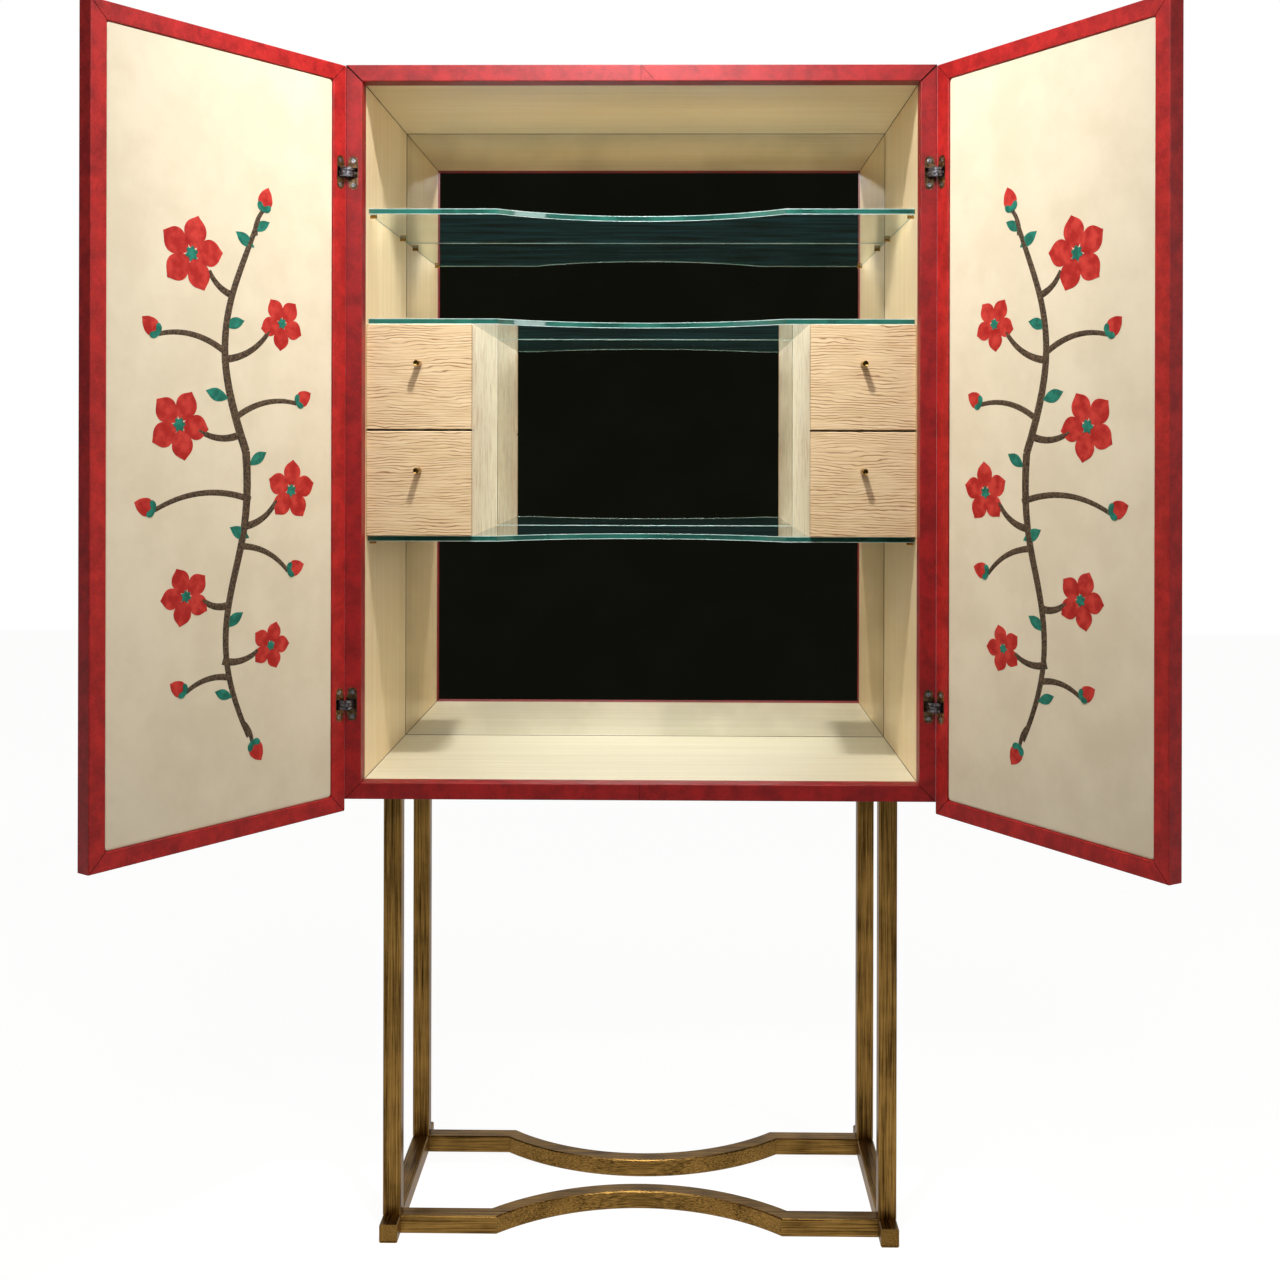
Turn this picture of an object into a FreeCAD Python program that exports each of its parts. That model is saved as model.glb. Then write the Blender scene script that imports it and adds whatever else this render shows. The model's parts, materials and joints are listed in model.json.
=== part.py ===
"""Mirror-backed bar cabinet with two doors and four small drawers, on a square-tube stand.

Millimetres and degrees. +Z is up and the front faces -Y. The origin is on the floor, in the
cabinet's centre plane, midway between its back and the tips of its open doors.
"""

import FreeCAD, Part

import math
import operator
import os
from types import SimpleNamespace

import Sketcher

DRIVING_SIZES = {
    # Carcass: a leather-covered box with a thin lining and a mirror inside its back.
    "carcass_width": 900,
    "carcass_height": 1120,
    "carcass_depth": 420,
    "wall": 25,
    "lining": 3,
    "front_edge_depth": 30,
    "edge_round": 1.4,
    "mitre_ease": 0.5,
    "mirror_thickness": 5,
    "back_thickness": 15,
    # Stand: four legs on two side rails, tied by two bowed stretchers.
    "stand_height": 685,
    "tube_size": 28,
    "tube_wall": 2,
    "tube_corner": 1.8,
    "stand_inset": 51.5,
    "leg_setback": 46,
    "leg_reach": 310,
    "toe_length": 29.5,
    "stretcher_bow_half": 221,
    "stretcher_bow_depth": 86,
    "cap_length": 8,
    "cap_recess": 1,
    "plate_size": 70,
    "plate_thickness": 4,
    "plate_screw_spread": 24,
    "plate_screw_length": 18,
    "plate_screw_shank": 4.5,
    "plate_screw_head": 9,
    "plate_screw_head_depth": 2.6,
    "screw_play": 0.1,
    # Glass shelves with a bowed front edge, and the brass pegs that carry them.
    "glass_thickness": 8,
    "glass_bevel": 0.8,
    "shelf_gap": 1,
    "shelf_setback": 50,
    "shelf_bow_half": 224,
    "shelf_bow_depth": 80,
    "lower_space": 366,
    "upper_space": 163,
    "peg_diameter": 5,
    "peg_play": 0.1,
    "peg_reach": 10,
    "peg_depth": 14,
    "peg_front": 66,
    "peg_rear": 334,
    # Drawer cases, which stand on the lower shelf and carry the middle one.
    "case_width": 162.5,
    "case_height": 330,
    "case_board": 9,
    "case_gap": 0.5,
    "drawer_front_setback": 35,
    "drawer_front_thickness": 16,
    "drawer_front_bevel": 1,
    "front_gap_top": 2,
    "front_gap_middle": 3,
    "front_gap_bottom": 1,
    "drawer_side": 8,
    "drawer_bottom": 5,
    "drawer_play": 0.75,
    "drawer_lift": 0.5,
    "drawer_box_height": 128,
    "drawer_box_depth": 325,
    # Drawer knobs: straight turned pins with an eased end.
    "knob_raise": 20,
    "knob_length": 27,
    "knob_diameter": 9.5,
    "knob_ease": 0.8,
    # Doors: a board with a raised border round a thin upholstered pad.
    "door_thickness": 25,
    "door_board": 20,
    "door_border": 25,
    "pad_thickness": 2.8,
    "pad_corner": 8,
    "door_top_drop": 1.5,
    "door_overhang": 18,
    "door_meeting_gap": 2.5,
    "door_left_angle": 124.5,
    "door_right_angle": 121,
    # Concealed hinges: two hollow housings and a link that is an arc about the door's axis.
    "axis_inset": 1,
    "axis_gap": 1,
    "hinge_from_top": 165,
    "hinge_from_bottom": 145,
    "leaf_height": 51,
    "leaf_width": 14.5,
    "leaf_thickness": 2,
    "leaf_from_axis": 3.25,
    "housing_height": 26,
    "housing_width": 16.4,
    "housing_depth": 14.5,
    "housing_wall": 0.7,
    "housing_from_axis": 1.6,
    "housing_play": 0.1,
    "link_inner": 9,
    "link_outer": 13,
    "link_height": 15,
    "link_span": 148,
    "link_play": 0.3,
    "hinge_screw_spread": 18.5,
    "hinge_screw_length": 12,
    "hinge_screw_shank": 3,
    "hinge_screw_head": 7,
    "hinge_screw_head_depth": 1.5,
}

SIDES = (("left", -1), ("right", 1))
X_AXIS = FreeCAD.Vector(1, 0, 0)
Y_AXIS = FreeCAD.Vector(0, 1, 0)
Z_AXIS = FreeCAD.Vector(0, 0, 1)
# Small pins and screws come in numbers, so they are prisms with only a few sides.
PIN_SIDES = 8
SCREW_SIDES = 6
OPERATIONS = {"+": operator.add, "-": operator.sub, "*": operator.mul, "/": operator.truediv}

doc = FreeCAD.newDocument("cabinet_on_stand")
sheet = doc.addObject("Spreadsheet::Sheet", "Sizes")
nodes = []


class Size:
    """A number together with the formula on the sheet that gives it."""

    def __init__(self, value, text):
        self.value = value
        self.text = text

    def __add__(self, other):
        return worked(self, "+", other)

    def __radd__(self, other):
        return worked(other, "+", self)

    def __sub__(self, other):
        return worked(self, "-", other)

    def __rsub__(self, other):
        return worked(other, "-", self)

    def __mul__(self, other):
        return worked(self, "*", other)

    def __rmul__(self, other):
        return worked(other, "*", self)

    def __truediv__(self, other):
        return worked(self, "/", other)

    def __neg__(self):
        return worked(-1, "*", self)


def as_size(item):
    return item if isinstance(item, Size) else Size(float(item), str(item))


def worked(left, sign, right):
    left, right = as_size(left), as_size(right)
    return Size(OPERATIONS[sign](left.value, right.value), f"({left.text} {sign} {right.text})")


def root(size):
    return Size(math.sqrt(size.value), f"sqrt({size.text})")


def sine(angle):
    return Size(math.sin(math.radians(angle.value)), f"sin({angle.text})")


def cosine(angle):
    return Size(math.cos(math.radians(angle.value)), f"cos({angle.text})")


def fill_sheet():
    """Give each driving size a cell of its own, and return the sizes by name."""
    for row, (name, number) in enumerate(DRIVING_SIZES.items(), start=1):
        sheet.set(f"A{row}", name)
        sheet.set(f"B{row}", str(number))
        sheet.setAlias(f"B{row}", name)
    doc.recompute()
    return SimpleNamespace(
        **{name: Size(float(number), f"Sizes.{name}") for name, number in DRIVING_SIZES.items()}
    )


s = fill_sheet()

# Places that several pieces share, in the cabinet's own frame: x from the centre plane, y back
# from the front of the carcass, z from the floor.
half_width = s.carcass_width / 2
board = s.wall - s.lining
inner_half = half_width - s.wall
carcass_top = s.stand_height + s.carcass_height
inner_floor = s.stand_height + s.wall
inner_top = carcass_top - s.wall
mirror_face = s.carcass_depth - s.back_thickness - s.mirror_thickness
lower_glass = inner_floor + s.lower_space
case_floor = lower_glass + s.glass_thickness
middle_glass = case_floor + s.case_height
upper_glass = middle_glass + s.glass_thickness + s.upper_space
leg_centre = half_width - s.stand_inset - s.tube_size / 2
case_front = s.drawer_front_setback + s.drawer_front_thickness
front_height = (
    s.case_height - s.front_gap_top - s.front_gap_middle - s.front_gap_bottom
) / 2
door_width = half_width - s.axis_inset - s.door_meeting_gap / 2
door_height = s.carcass_height - s.door_top_drop + s.door_overhang
door_foot = s.stand_height - s.door_overhang
door_reach = (
    s.axis_gap
    + door_width * sine(s.door_right_angle)
    + s.axis_gap * cosine(s.door_right_angle)
)
front_y = (door_reach - s.carcass_depth) / 2
hinge_heights = (s.stand_height + s.hinge_from_bottom, carcass_top - s.hinge_from_top)


# ---- Ways of making a piece ----


def bind(piece, formulas):
    """Tie properties of a piece to the sheet."""
    for path, size in formulas.items():
        piece.setExpression(path, as_size(size).text)
    return piece


def add(kind, label, **formulas):
    piece = doc.addObject(kind, label)
    piece.Label = label
    return bind(piece, formulas)


def place(piece, x=0, y=0, z=0, turn=None, axis=Z_AXIS):
    """Put a piece's own origin at a point, turned about an axis through it."""
    if turn is not None:
        # A rotation of zero keeps no axis, so the piece is turned before the sheet turns it.
        piece.Placement = FreeCAD.Placement(FreeCAD.Vector(), FreeCAD.Rotation(axis, 1))
        bind(piece, {"Placement.Rotation.Angle": turn})
    return bind(piece, {"Placement.Base.x": x, "Placement.Base.y": y, "Placement.Base.z": z})


def in_cabinet(piece, x=0, y=0, z=0, turn=None, axis=Z_AXIS):
    """Place a piece by the cabinet's own frame."""
    return place(piece, x, front_y + y, z, turn, axis)


def node(piece):
    """Keep a finished piece: its label names its file."""
    nodes.append(piece)
    return piece


def box(label, length, width, height):
    return add("Part::Box", label, Length=length, Width=width, Height=height)


def slab(label, x, y, z, length, width, height):
    """A plain board in the cabinet, by its lowest corner and its sides."""
    return in_cabinet(box(label, length, width, height), x, y, z)


def rod(label, diameter, length):
    return add("Part::Cylinder", label, Radius=diameter / 2, Height=length)


def prism(label, sides, width, length):
    """A prism along +Z, width across its flats, with a flat towards +X."""
    half_step = as_size(180 / sides)
    bar = add("Part::Prism", label, Circumradius=width / (2 * cosine(half_step)), Height=length)
    bar.Polygon = sides
    return place(bar, turn=half_step)


def group(label, pieces):
    compound = add("Part::Compound", label)
    compound.Links = pieces
    return compound


def copies(label, master, places):
    """The same piece at several places, each (x, y, z) or (x, y, z, turn, axis)."""
    made = []
    for number, spot in enumerate(places, start=1):
        made.append(place(group(f"{label}_{number}", [master]), *spot))
    return group(label, made)


def fused(label, pieces):
    union = add("Part::MultiFuse", label)
    union.Shapes = pieces
    return union


def cut(label, base, tool):
    result = add("Part::Cut", label)
    result.Base = base
    result.Tool = tool
    return result


def new_body(label):
    body = doc.addObject("PartDesign::Body", label)
    body.Label = label
    return body


def outline(body, role, corners, arcs=None, lift=0):
    """A closed sketch through corners on one of the body's own planes.

    arcs maps the number of a corner to the centre and sense of the arc that leaves it; the
    chord of each arc is level, so the height of its centre settles it.
    """
    arcs = arcs or {}
    sketch = body.newObject("Sketcher::SketchObject", body.Name + "_outline")
    plane = next(item for item in body.Origin.OriginFeatures if item.Role == role)
    sketch.AttachmentSupport = [(plane, "")]
    sketch.MapMode = "FlatFace"
    bind(sketch, {"AttachmentOffset.Base.z": lift})
    points = [FreeCAD.Vector(as_size(x).value, as_size(y).value, 0) for x, y in corners]
    starts = []
    for number, point in enumerate(points):
        following = points[(number + 1) % len(points)]
        if number not in arcs:
            sketch.addGeometry(Part.LineSegment(point, following))
            starts.append((1, 2))
            continue
        centre_x, centre_y, sense = arcs[number]
        centre = FreeCAD.Vector(as_size(centre_x).value, as_size(centre_y).value, 0)
        first, last = (point, following) if sense == "ccw" else (following, point)
        angles = [math.atan2(end.y - centre.y, end.x - centre.x) for end in (first, last)]
        if angles[1] <= angles[0]:
            angles[1] += 2 * math.pi
        circle = Part.Circle(centre, Z_AXIS, (point - centre).Length)
        sketch.addGeometry(Part.ArcOfCircle(circle, *angles))
        starts.append((1, 2) if sense == "ccw" else (2, 1))
    for number in range(len(points)):
        before = number - 1 if number else len(points) - 1
        joint = (before, starts[before][1], number, starts[number][0])
        sketch.addConstraint(Sketcher.Constraint("Coincident", *joint))
    for number, (x, y) in enumerate(corners):
        hold(sketch, "DistanceX", number, starts[number][0], x)
        hold(sketch, "DistanceY", number, starts[number][0], y)
    for number, (_, centre_y, _) in arcs.items():
        hold(sketch, "DistanceY", number, 3, centre_y)
    return sketch


def hold(sketch, kind, edge, point, size):
    """Measure a point of a sketch from its origin."""
    size = as_size(size)
    constraint = Sketcher.Constraint(kind, -1, 1, edge, point, size.value)
    index = sketch.addConstraint(constraint)
    sketch.setExpression(f"Constraints[{index}]", size.text)


def pad(body, sketch, length, away=False):
    feature = body.newObject("PartDesign::Pad", body.Name + "_pad")
    feature.Profile = sketch
    feature.Reversed = away
    bind(feature, {"Length": length})
    doc.recompute()
    return feature


def pocket(body, sketch, depth, away=False):
    """Cut a sketch out of a body, and make sure that something was cut."""
    before = body.Shape.Volume
    feature = body.newObject("PartDesign::Pocket", body.Name + "_pocket")
    feature.Profile = sketch
    feature.Reversed = away
    bind(feature, {"Length": depth})
    doc.recompute()
    if body.Shape.Volume >= before:
        raise ValueError(f"{body.Label}: the pocket cuts nothing")
    return feature


def dress(body, kind, size, wanted):
    """Fillet or chamfer the edges of a body that a test picks out."""
    tip = body.Tip
    names = [
        f"Edge{number}"
        for number, edge in enumerate(tip.Shape.Edges, start=1)
        if wanted(edge.BoundBox)
    ]
    feature = body.newObject(f"PartDesign::{kind}", f"{body.Name}_{kind.lower()}")
    feature.Base = (tip, names)
    bind(feature, {"Radius" if kind == "Fillet" else "Size": size})
    tip.Visibility = False
    doc.recompute()
    return feature


def rectangle(left, bottom, right, top):
    return [(left, bottom), (right, bottom), (right, top), (left, top)]


def near(value, target):
    return abs(value - as_size(target).value) < 1e-4


def flat_at(axis, *levels):
    """A test for edges that lie level in one of some planes across an axis."""

    def wanted(bounds):
        low = getattr(bounds, f"{axis}Min")
        high = getattr(bounds, f"{axis}Max")
        return any(near(low, level) and near(high, level) for level in levels)

    return wanted


def along(axis):
    """A test for edges that run along an axis."""
    others = [name for name in "XYZ" if name != axis]

    def wanted(bounds):
        return all(
            near(getattr(bounds, f"{name}Max"), getattr(bounds, f"{name}Min")) for name in others
        )

    return wanted


def slanting(bounds):
    """A test for edges that run neither upright nor along X or Y."""
    spans = (bounds.XLength, bounds.YLength, bounds.ZLength)
    return sum(not near(span, 0) for span in spans) > 1


def screw(label, shank, head, head_depth, length):
    """A flush screw whose head lies level at z = 0 and which points up +Z."""
    cap = prism(f"{label}_head", SCREW_SIDES, head, head_depth)
    return fused(label, [cap, prism(f"{label}_shank", SCREW_SIDES, shank, length)])


def screw_and_hole(label, shank, head, head_depth, length):
    """A screw, and the wider hole on whose shoulder its head bears."""
    wider = 2 * s.screw_play
    hole = screw(f"{label}_hole", shank + wider, head + wider, head_depth, length)
    return screw(label, shank, head, head_depth, length), hole


# ---- Stand ----


def square_tube(label, length):
    """Square tube along +Z, centred on its axis."""
    body = new_body(label)
    half = s.tube_size / 2
    pad(body, outline(body, "XY_Plane", rectangle(-half, -half, half, half)), length)
    dress(body, "Chamfer", s.tube_corner, along("Z"))
    bore = half - s.tube_wall
    pocket(body, outline(body, "XY_Plane", rectangle(-bore, -bore, bore, bore)), length, True)
    return body


def bow_shape(half, depth):
    """The radius and centre of an arc that leaves a straight line by depth at its middle."""
    radius = (half * half + depth * depth) / (2 * depth)
    return radius, depth - radius


def bowed_stretcher(label):
    """A square tube with a bow in its middle; its straight ends lie along y = 0 to tube_size."""
    radius, centre = bow_shape(s.stretcher_bow_half, s.stretcher_bow_depth)
    length = leg_centre - s.tube_size / 2

    def kink(offset):
        return root((radius + offset) * (radius + offset) - (offset - centre) * (offset - centre))

    def profile(body, front, rear, half, lift):
        corners = [
            (-half, front),
            (-kink(front), front),
            (kink(front), front),
            (half, front),
            (half, rear),
            (kink(rear), rear),
            (-kink(rear), rear),
            (-half, rear),
        ]
        bows = {1: (0, centre, "cw"), 5: (0, centre, "ccw")}
        return outline(body, "XY_Plane", corners, bows, lift)

    body = new_body(label)
    pad(body, profile(body, as_size(0), s.tube_size, length, 0), s.tube_size)
    long_edges = flat_at("Z", 0, s.tube_size)
    at_ends = flat_at("X", -length, length)
    dress(body, "Chamfer", s.tube_corner, lambda edge: long_edges(edge) and not at_ends(edge))
    inner = profile(
        body, s.tube_wall, s.tube_size - s.tube_wall, length + s.tube_wall, s.tube_wall
    )
    pocket(body, inner, s.tube_size - 2 * s.tube_wall, True)
    return body


def make_stand():
    tube = s.tube_size
    leg_foot = tube
    leg_length = s.stand_height - s.plate_thickness - leg_foot
    rail_front = s.leg_setback - s.toe_length
    rail_length = s.leg_reach + 2 * s.toe_length
    ends = (
        ("front", s.leg_setback + tube / 2),
        ("rear", s.leg_setback + s.leg_reach - tube / 2),
    )
    leg_spots = []
    for side, sign in SIDES:
        for end, y in ends:
            leg = square_tube(f"stand_leg_{end}_{side}", leg_length)
            node(in_cabinet(leg, sign * leg_centre, y, leg_foot))
            leg_spots.append((sign * leg_centre, front_y + y))
        rail = square_tube(f"stand_rail_{side}", rail_length)
        node(in_cabinet(rail, sign * leg_centre, rail_front, tube / 2, -90, X_AXIS))
    front = bowed_stretcher("stand_stretcher_front")
    node(in_cabinet(front, 0, s.leg_setback, 0))
    rear = bowed_stretcher("stand_stretcher_rear")
    node(in_cabinet(rear, 0, s.leg_setback + s.leg_reach, 0, 180))
    make_rail_caps(rail_front, rail_length)
    return make_mounting_plates(leg_spots)


def make_rail_caps(rail_front, rail_length):
    """Plugs that close the ends of the side rails, a little below their rims."""
    cap = new_body("rail_cap")
    half = s.tube_size / 2 - s.tube_wall
    pad(cap, outline(cap, "XZ_Plane", rectangle(-half, -half, half, half)), s.cap_length, True)
    spots = []
    for _, sign in SIDES:
        for y in (s.cap_recess, rail_length - s.cap_recess - s.cap_length):
            spots.append((sign * leg_centre, front_y + rail_front + y, s.tube_size / 2))
    node(copies("stand_rail_caps", cap, spots))


def make_mounting_plates(leg_spots):
    """A plate on each leg, held up to the carcass by screws; returns the holes they need."""
    plate_foot = s.stand_height - s.plate_thickness
    half = s.plate_size / 2
    plate = box("plate_blank", s.plate_size, s.plate_size, s.plate_thickness)
    place(plate, -half, -half, 0)
    one_screw, hole = screw_and_hole(
        "plate_screw",
        s.plate_screw_shank,
        s.plate_screw_head,
        s.plate_screw_head_depth,
        s.plate_screw_length,
    )
    spread = s.plate_screw_spread
    corners = [(-spread, spread, 0), (spread, -spread, 0)]
    holes = copies("plate_hole_pair", hole, corners)
    drilled = cut("plate_drilled", plate, holes)
    spots = [(x, y, plate_foot) for x, y in leg_spots]
    node(copies("stand_mounting_plates", drilled, spots))
    node(copies("stand_plate_screws", copies("plate_screw_pair", one_screw, corners), spots))
    return copies("plate_holes", holes, spots)


# ---- Carcass ----


def make_pegs():
    """Brass pins that stand out under two of the shelves; returns the holes that they need."""
    length = s.peg_depth + s.peg_reach
    peg = prism("peg", PIN_SIDES, s.peg_diameter, length)
    hole = prism("peg_hole", PIN_SIDES, s.peg_diameter + 2 * s.peg_play, length)
    spots = []
    for _, sign in SIDES:
        x = sign * (inner_half + s.peg_depth)
        for glass in (lower_glass, upper_glass):
            for y in (s.peg_front, s.peg_rear):
                z = glass - s.peg_diameter / 2
                spots.append((x, front_y + y, z, -90 * sign, Y_AXIS))
    node(copies("shelf_pegs", peg, spots))
    return copies("peg_holes", hole, spots)


def make_carcass(plate_holes, peg_holes):
    behind_edge = s.carcass_depth - s.front_edge_depth
    liner_depth = mirror_face - s.front_edge_depth
    inner_height = inner_top - inner_floor
    for side, sign in SIDES:
        x = -half_width if sign < 0 else half_width - board
        blank = slab(
            f"carcass_side_{side}_blank",
            x,
            s.front_edge_depth,
            s.stand_height,
            board,
            behind_edge,
            s.carcass_height,
        )
        node(cut(f"carcass_side_{side}", blank, peg_holes))
        x = -inner_half - s.lining if sign < 0 else inner_half
        blank = slab(
            f"lining_{side}_blank",
            x,
            s.front_edge_depth,
            inner_floor,
            s.lining,
            liner_depth,
            inner_height,
        )
        node(cut(f"lining_{side}", blank, peg_holes))
    across = half_width - board
    decks = (
        ("bottom", s.stand_height, inner_floor - s.lining),
        ("top", carcass_top - board, inner_top),
    )
    for name, board_z, lining_z in decks:
        drilled = name == "bottom"
        deck = slab(
            f"carcass_{name}" + ("_blank" if drilled else ""),
            -across,
            s.front_edge_depth,
            board_z,
            2 * across,
            behind_edge,
            board,
        )
        node(cut(f"carcass_{name}", deck, plate_holes) if drilled else deck)
        node(
            slab(
                f"lining_{name}",
                -across,
                s.front_edge_depth,
                lining_z,
                2 * across,
                liner_depth,
                s.lining,
            )
        )
    rebate = inner_floor - s.lining
    node(
        slab(
            "mirror_back",
            -across,
            mirror_face,
            rebate,
            2 * across,
            s.mirror_thickness,
            inner_height + 2 * s.lining,
        )
    )
    node(
        slab(
            "carcass_back",
            -across,
            mirror_face + s.mirror_thickness,
            rebate,
            2 * across,
            s.back_thickness,
            inner_height + 2 * s.lining,
        )
    )


def mitred_frame(label, left, bottom, right, top, width, depth, rounding):
    """Four mitred members round a rectangle, their front faces at y = 0 and depth behind it.

    Their mitres are eased on the front, so that a fine groove shows where two members meet.
    """
    members = {
        "left": [
            (left, bottom),
            (left + width, bottom + width),
            (left + width, top - width),
            (left, top),
        ],
        "right": [
            (right, bottom),
            (right, top),
            (right - width, top - width),
            (right - width, bottom + width),
        ],
        "bottom": [
            (left, bottom),
            (right, bottom),
            (right - width, bottom + width),
            (left + width, bottom + width),
        ],
        "top": [
            (left, top),
            (left + width, top - width),
            (right - width, top - width),
            (right, top),
        ],
    }
    made = {}
    for name, corners in members.items():
        body = new_body(f"{label}_{name}_member")
        pad(body, outline(body, "XZ_Plane", corners), depth, True)
        lengthwise = along("Z" if name in ("left", "right") else "X")
        front_face = flat_at("Y", 0)
        dress(body, "Chamfer", s.mitre_ease, lambda edge: slanting(edge) and front_face(edge))
        dress(body, "Fillet", rounding, lambda edge: lengthwise(edge) and front_face(edge))
        made[name] = body
    return made


def make_front_edges(mortises):
    """Leather-wrapped lippings mitred round the front of the carcass."""
    members = mitred_frame(
        "front_edge",
        -half_width,
        as_size(0),
        half_width,
        s.carcass_height,
        s.wall,
        s.front_edge_depth,
        s.edge_round,
    )
    for name, body in members.items():
        in_cabinet(body, 0, 0, s.stand_height)
        if name in mortises:
            body = cut(f"front_edge_{name}", body, mortises[name])
        body.Label = f"front_edge_{name}"
        node(body)


# ---- Shelves and drawers ----


def make_shelves():
    """Glass plates whose front edge bows in towards the mirror."""
    radius, centre = bow_shape(s.shelf_bow_half, s.shelf_bow_depth)
    half = inner_half - s.shelf_gap
    depth = mirror_face - s.shelf_gap - s.shelf_setback
    corners = [
        (-half, 0),
        (-s.shelf_bow_half, 0),
        (s.shelf_bow_half, 0),
        (half, 0),
        (half, depth),
        (-half, depth),
    ]
    for name, z in (("lower", lower_glass), ("middle", middle_glass), ("upper", upper_glass)):
        glass = new_body(f"shelf_{name}")
        profile = outline(glass, "XY_Plane", corners, {1: (0, centre, "cw")})
        pad(glass, profile, s.glass_thickness)
        dress(glass, "Chamfer", s.glass_bevel, flat_at("Z", 0, s.glass_thickness))
        node(in_cabinet(glass, 0, s.shelf_setback, z))


def make_drawer_case(side, sign):
    """The open-fronted case of a pair of drawers; returns the x of its left face."""
    left = (
        -inner_half + s.case_gap if sign < 0 else inner_half - s.case_gap - s.case_width
    )
    depth = mirror_face - s.case_gap - case_front
    thick = s.case_board
    walls = []
    for name, x in (("outer", left), ("inner", left + s.case_width - thick)):
        walls.append(
            slab(
                f"case_{side}_{name}_wall", x, case_front, case_floor, thick, depth, s.case_height
            )
        )
    node(group(f"drawer_case_{side}_sides", walls))
    divider = s.front_gap_bottom + front_height + (s.front_gap_middle - thick) / 2
    decks = []
    for name, z in (("floor", as_size(0)), ("divider", divider), ("roof", s.case_height - thick)):
        decks.append(
            slab(
                f"case_{side}_{name}",
                left + thick,
                case_front,
                case_floor + z,
                s.case_width - 2 * thick,
                depth - thick,
                thick,
            )
        )
    node(group(f"drawer_case_{side}_decks", decks))
    back = slab(
        f"case_{side}_back",
        left + thick,
        case_front + depth - thick,
        case_floor,
        s.case_width - 2 * thick,
        thick,
        s.case_height,
    )
    return left, back, (thick, divider + thick)


def make_knob(label):
    """A straight pin turned about +Z, with an eased end."""
    radius = s.knob_diameter / 2
    profile = [
        (0, 0),
        (radius, 0),
        (radius, s.knob_length - s.knob_ease),
        (radius - s.knob_ease, s.knob_length),
        (0, s.knob_length),
    ]
    body = new_body(label)
    feature = body.newObject("PartDesign::Revolution", label + "_turned")
    feature.Profile = outline(body, "XZ_Plane", profile)
    feature.ReferenceAxis = (feature.Profile[0], ["V_Axis"])
    feature.Angle = 360
    return body


def make_drawer(name, left, opening_floor, front_foot):
    """One drawer: a box of thin boards, an applied front and a knob."""
    thick = s.drawer_side
    x = left + s.case_board + s.drawer_play
    z = case_floor + opening_floor + s.drawer_lift
    width = s.case_width - 2 * (s.case_board + s.drawer_play)
    parts = [
        slab(f"{name}_wall_1", x, case_front, z, thick, s.drawer_box_depth, s.drawer_box_height),
        slab(
            f"{name}_wall_2",
            x + width - thick,
            case_front,
            z,
            thick,
            s.drawer_box_depth,
            s.drawer_box_height,
        ),
    ]
    inside = width - 2 * thick
    for end, y in (("front", case_front), ("back", case_front + s.drawer_box_depth - thick)):
        parts.append(
            slab(f"{name}_wall_{end}", x + thick, y, z, inside, thick, s.drawer_box_height)
        )
    parts.append(
        slab(
            f"{name}_base",
            x + thick,
            case_front + thick,
            z,
            inside,
            s.drawer_box_depth - 2 * thick,
            s.drawer_bottom,
        )
    )
    node(group(f"{name}_box", parts))

    face = new_body(f"{name}_front")
    foot = case_floor + front_foot
    corners = rectangle(0, 0, s.case_width, front_height)
    pad(face, outline(face, "XZ_Plane", corners), s.drawer_front_thickness, True)
    dress(face, "Chamfer", s.drawer_front_bevel, flat_at("Y", 0))
    node(in_cabinet(face, left, s.drawer_front_setback, foot))
    knob = make_knob(f"{name}_knob")
    knob_z = foot + front_height / 2 + s.knob_raise
    node(in_cabinet(knob, left + s.case_width / 2, s.drawer_front_setback, knob_z, 90, X_AXIS))


def make_drawers():
    backs = []
    for side, sign in SIDES:
        left, back, opening_floors = make_drawer_case(side, sign)
        backs.append(back)
        feet = (s.front_gap_bottom, s.front_gap_bottom + front_height + s.front_gap_middle)
        for level, opening, foot in zip(("lower", "upper"), opening_floors, feet):
            make_drawer(f"drawer_{side}_{level}", left, opening, foot)
    node(group("drawer_case_backs", backs))


# ---- Hinges and doors ----


def arc_block(label, inner, outer, start, end, height):
    """A block that is an arc about the origin, from one angle to another, centred in height."""
    disc = add("Part::Cylinder", f"{label}_disc", Radius=outer, Height=height, Angle=end - start)
    place(disc, 0, 0, -height / 2, start)
    eye = place(rod(f"{label}_eye", 2 * inner, height), 0, 0, -height / 2)
    return cut(label, disc, eye)


def housing_blank(label, play=0):
    """A leaf with round ends and the block behind it, wider by some play on every side."""
    blank = new_body(label)
    leaf_left = s.leaf_from_axis - play
    leaf_right = s.leaf_from_axis + s.leaf_width + play
    leaf_middle = s.leaf_from_axis + s.leaf_width / 2
    straight = (s.leaf_height - s.leaf_width) / 2
    leaf = rectangle(leaf_left, -straight, leaf_right, straight)
    ends = {0: (leaf_middle, -straight, "ccw"), 2: (leaf_middle, straight, "ccw")}
    pad(blank, outline(blank, "XZ_Plane", leaf, ends, -s.axis_gap), s.leaf_thickness, True)
    block = rectangle(
        s.housing_from_axis - play,
        -s.housing_height / 2 - play,
        s.housing_from_axis + s.housing_width + play,
        s.housing_height / 2 + play,
    )
    pad(blank, outline(blank, "XZ_Plane", block, None, -s.axis_gap), s.housing_depth + play, True)
    return blank


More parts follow.
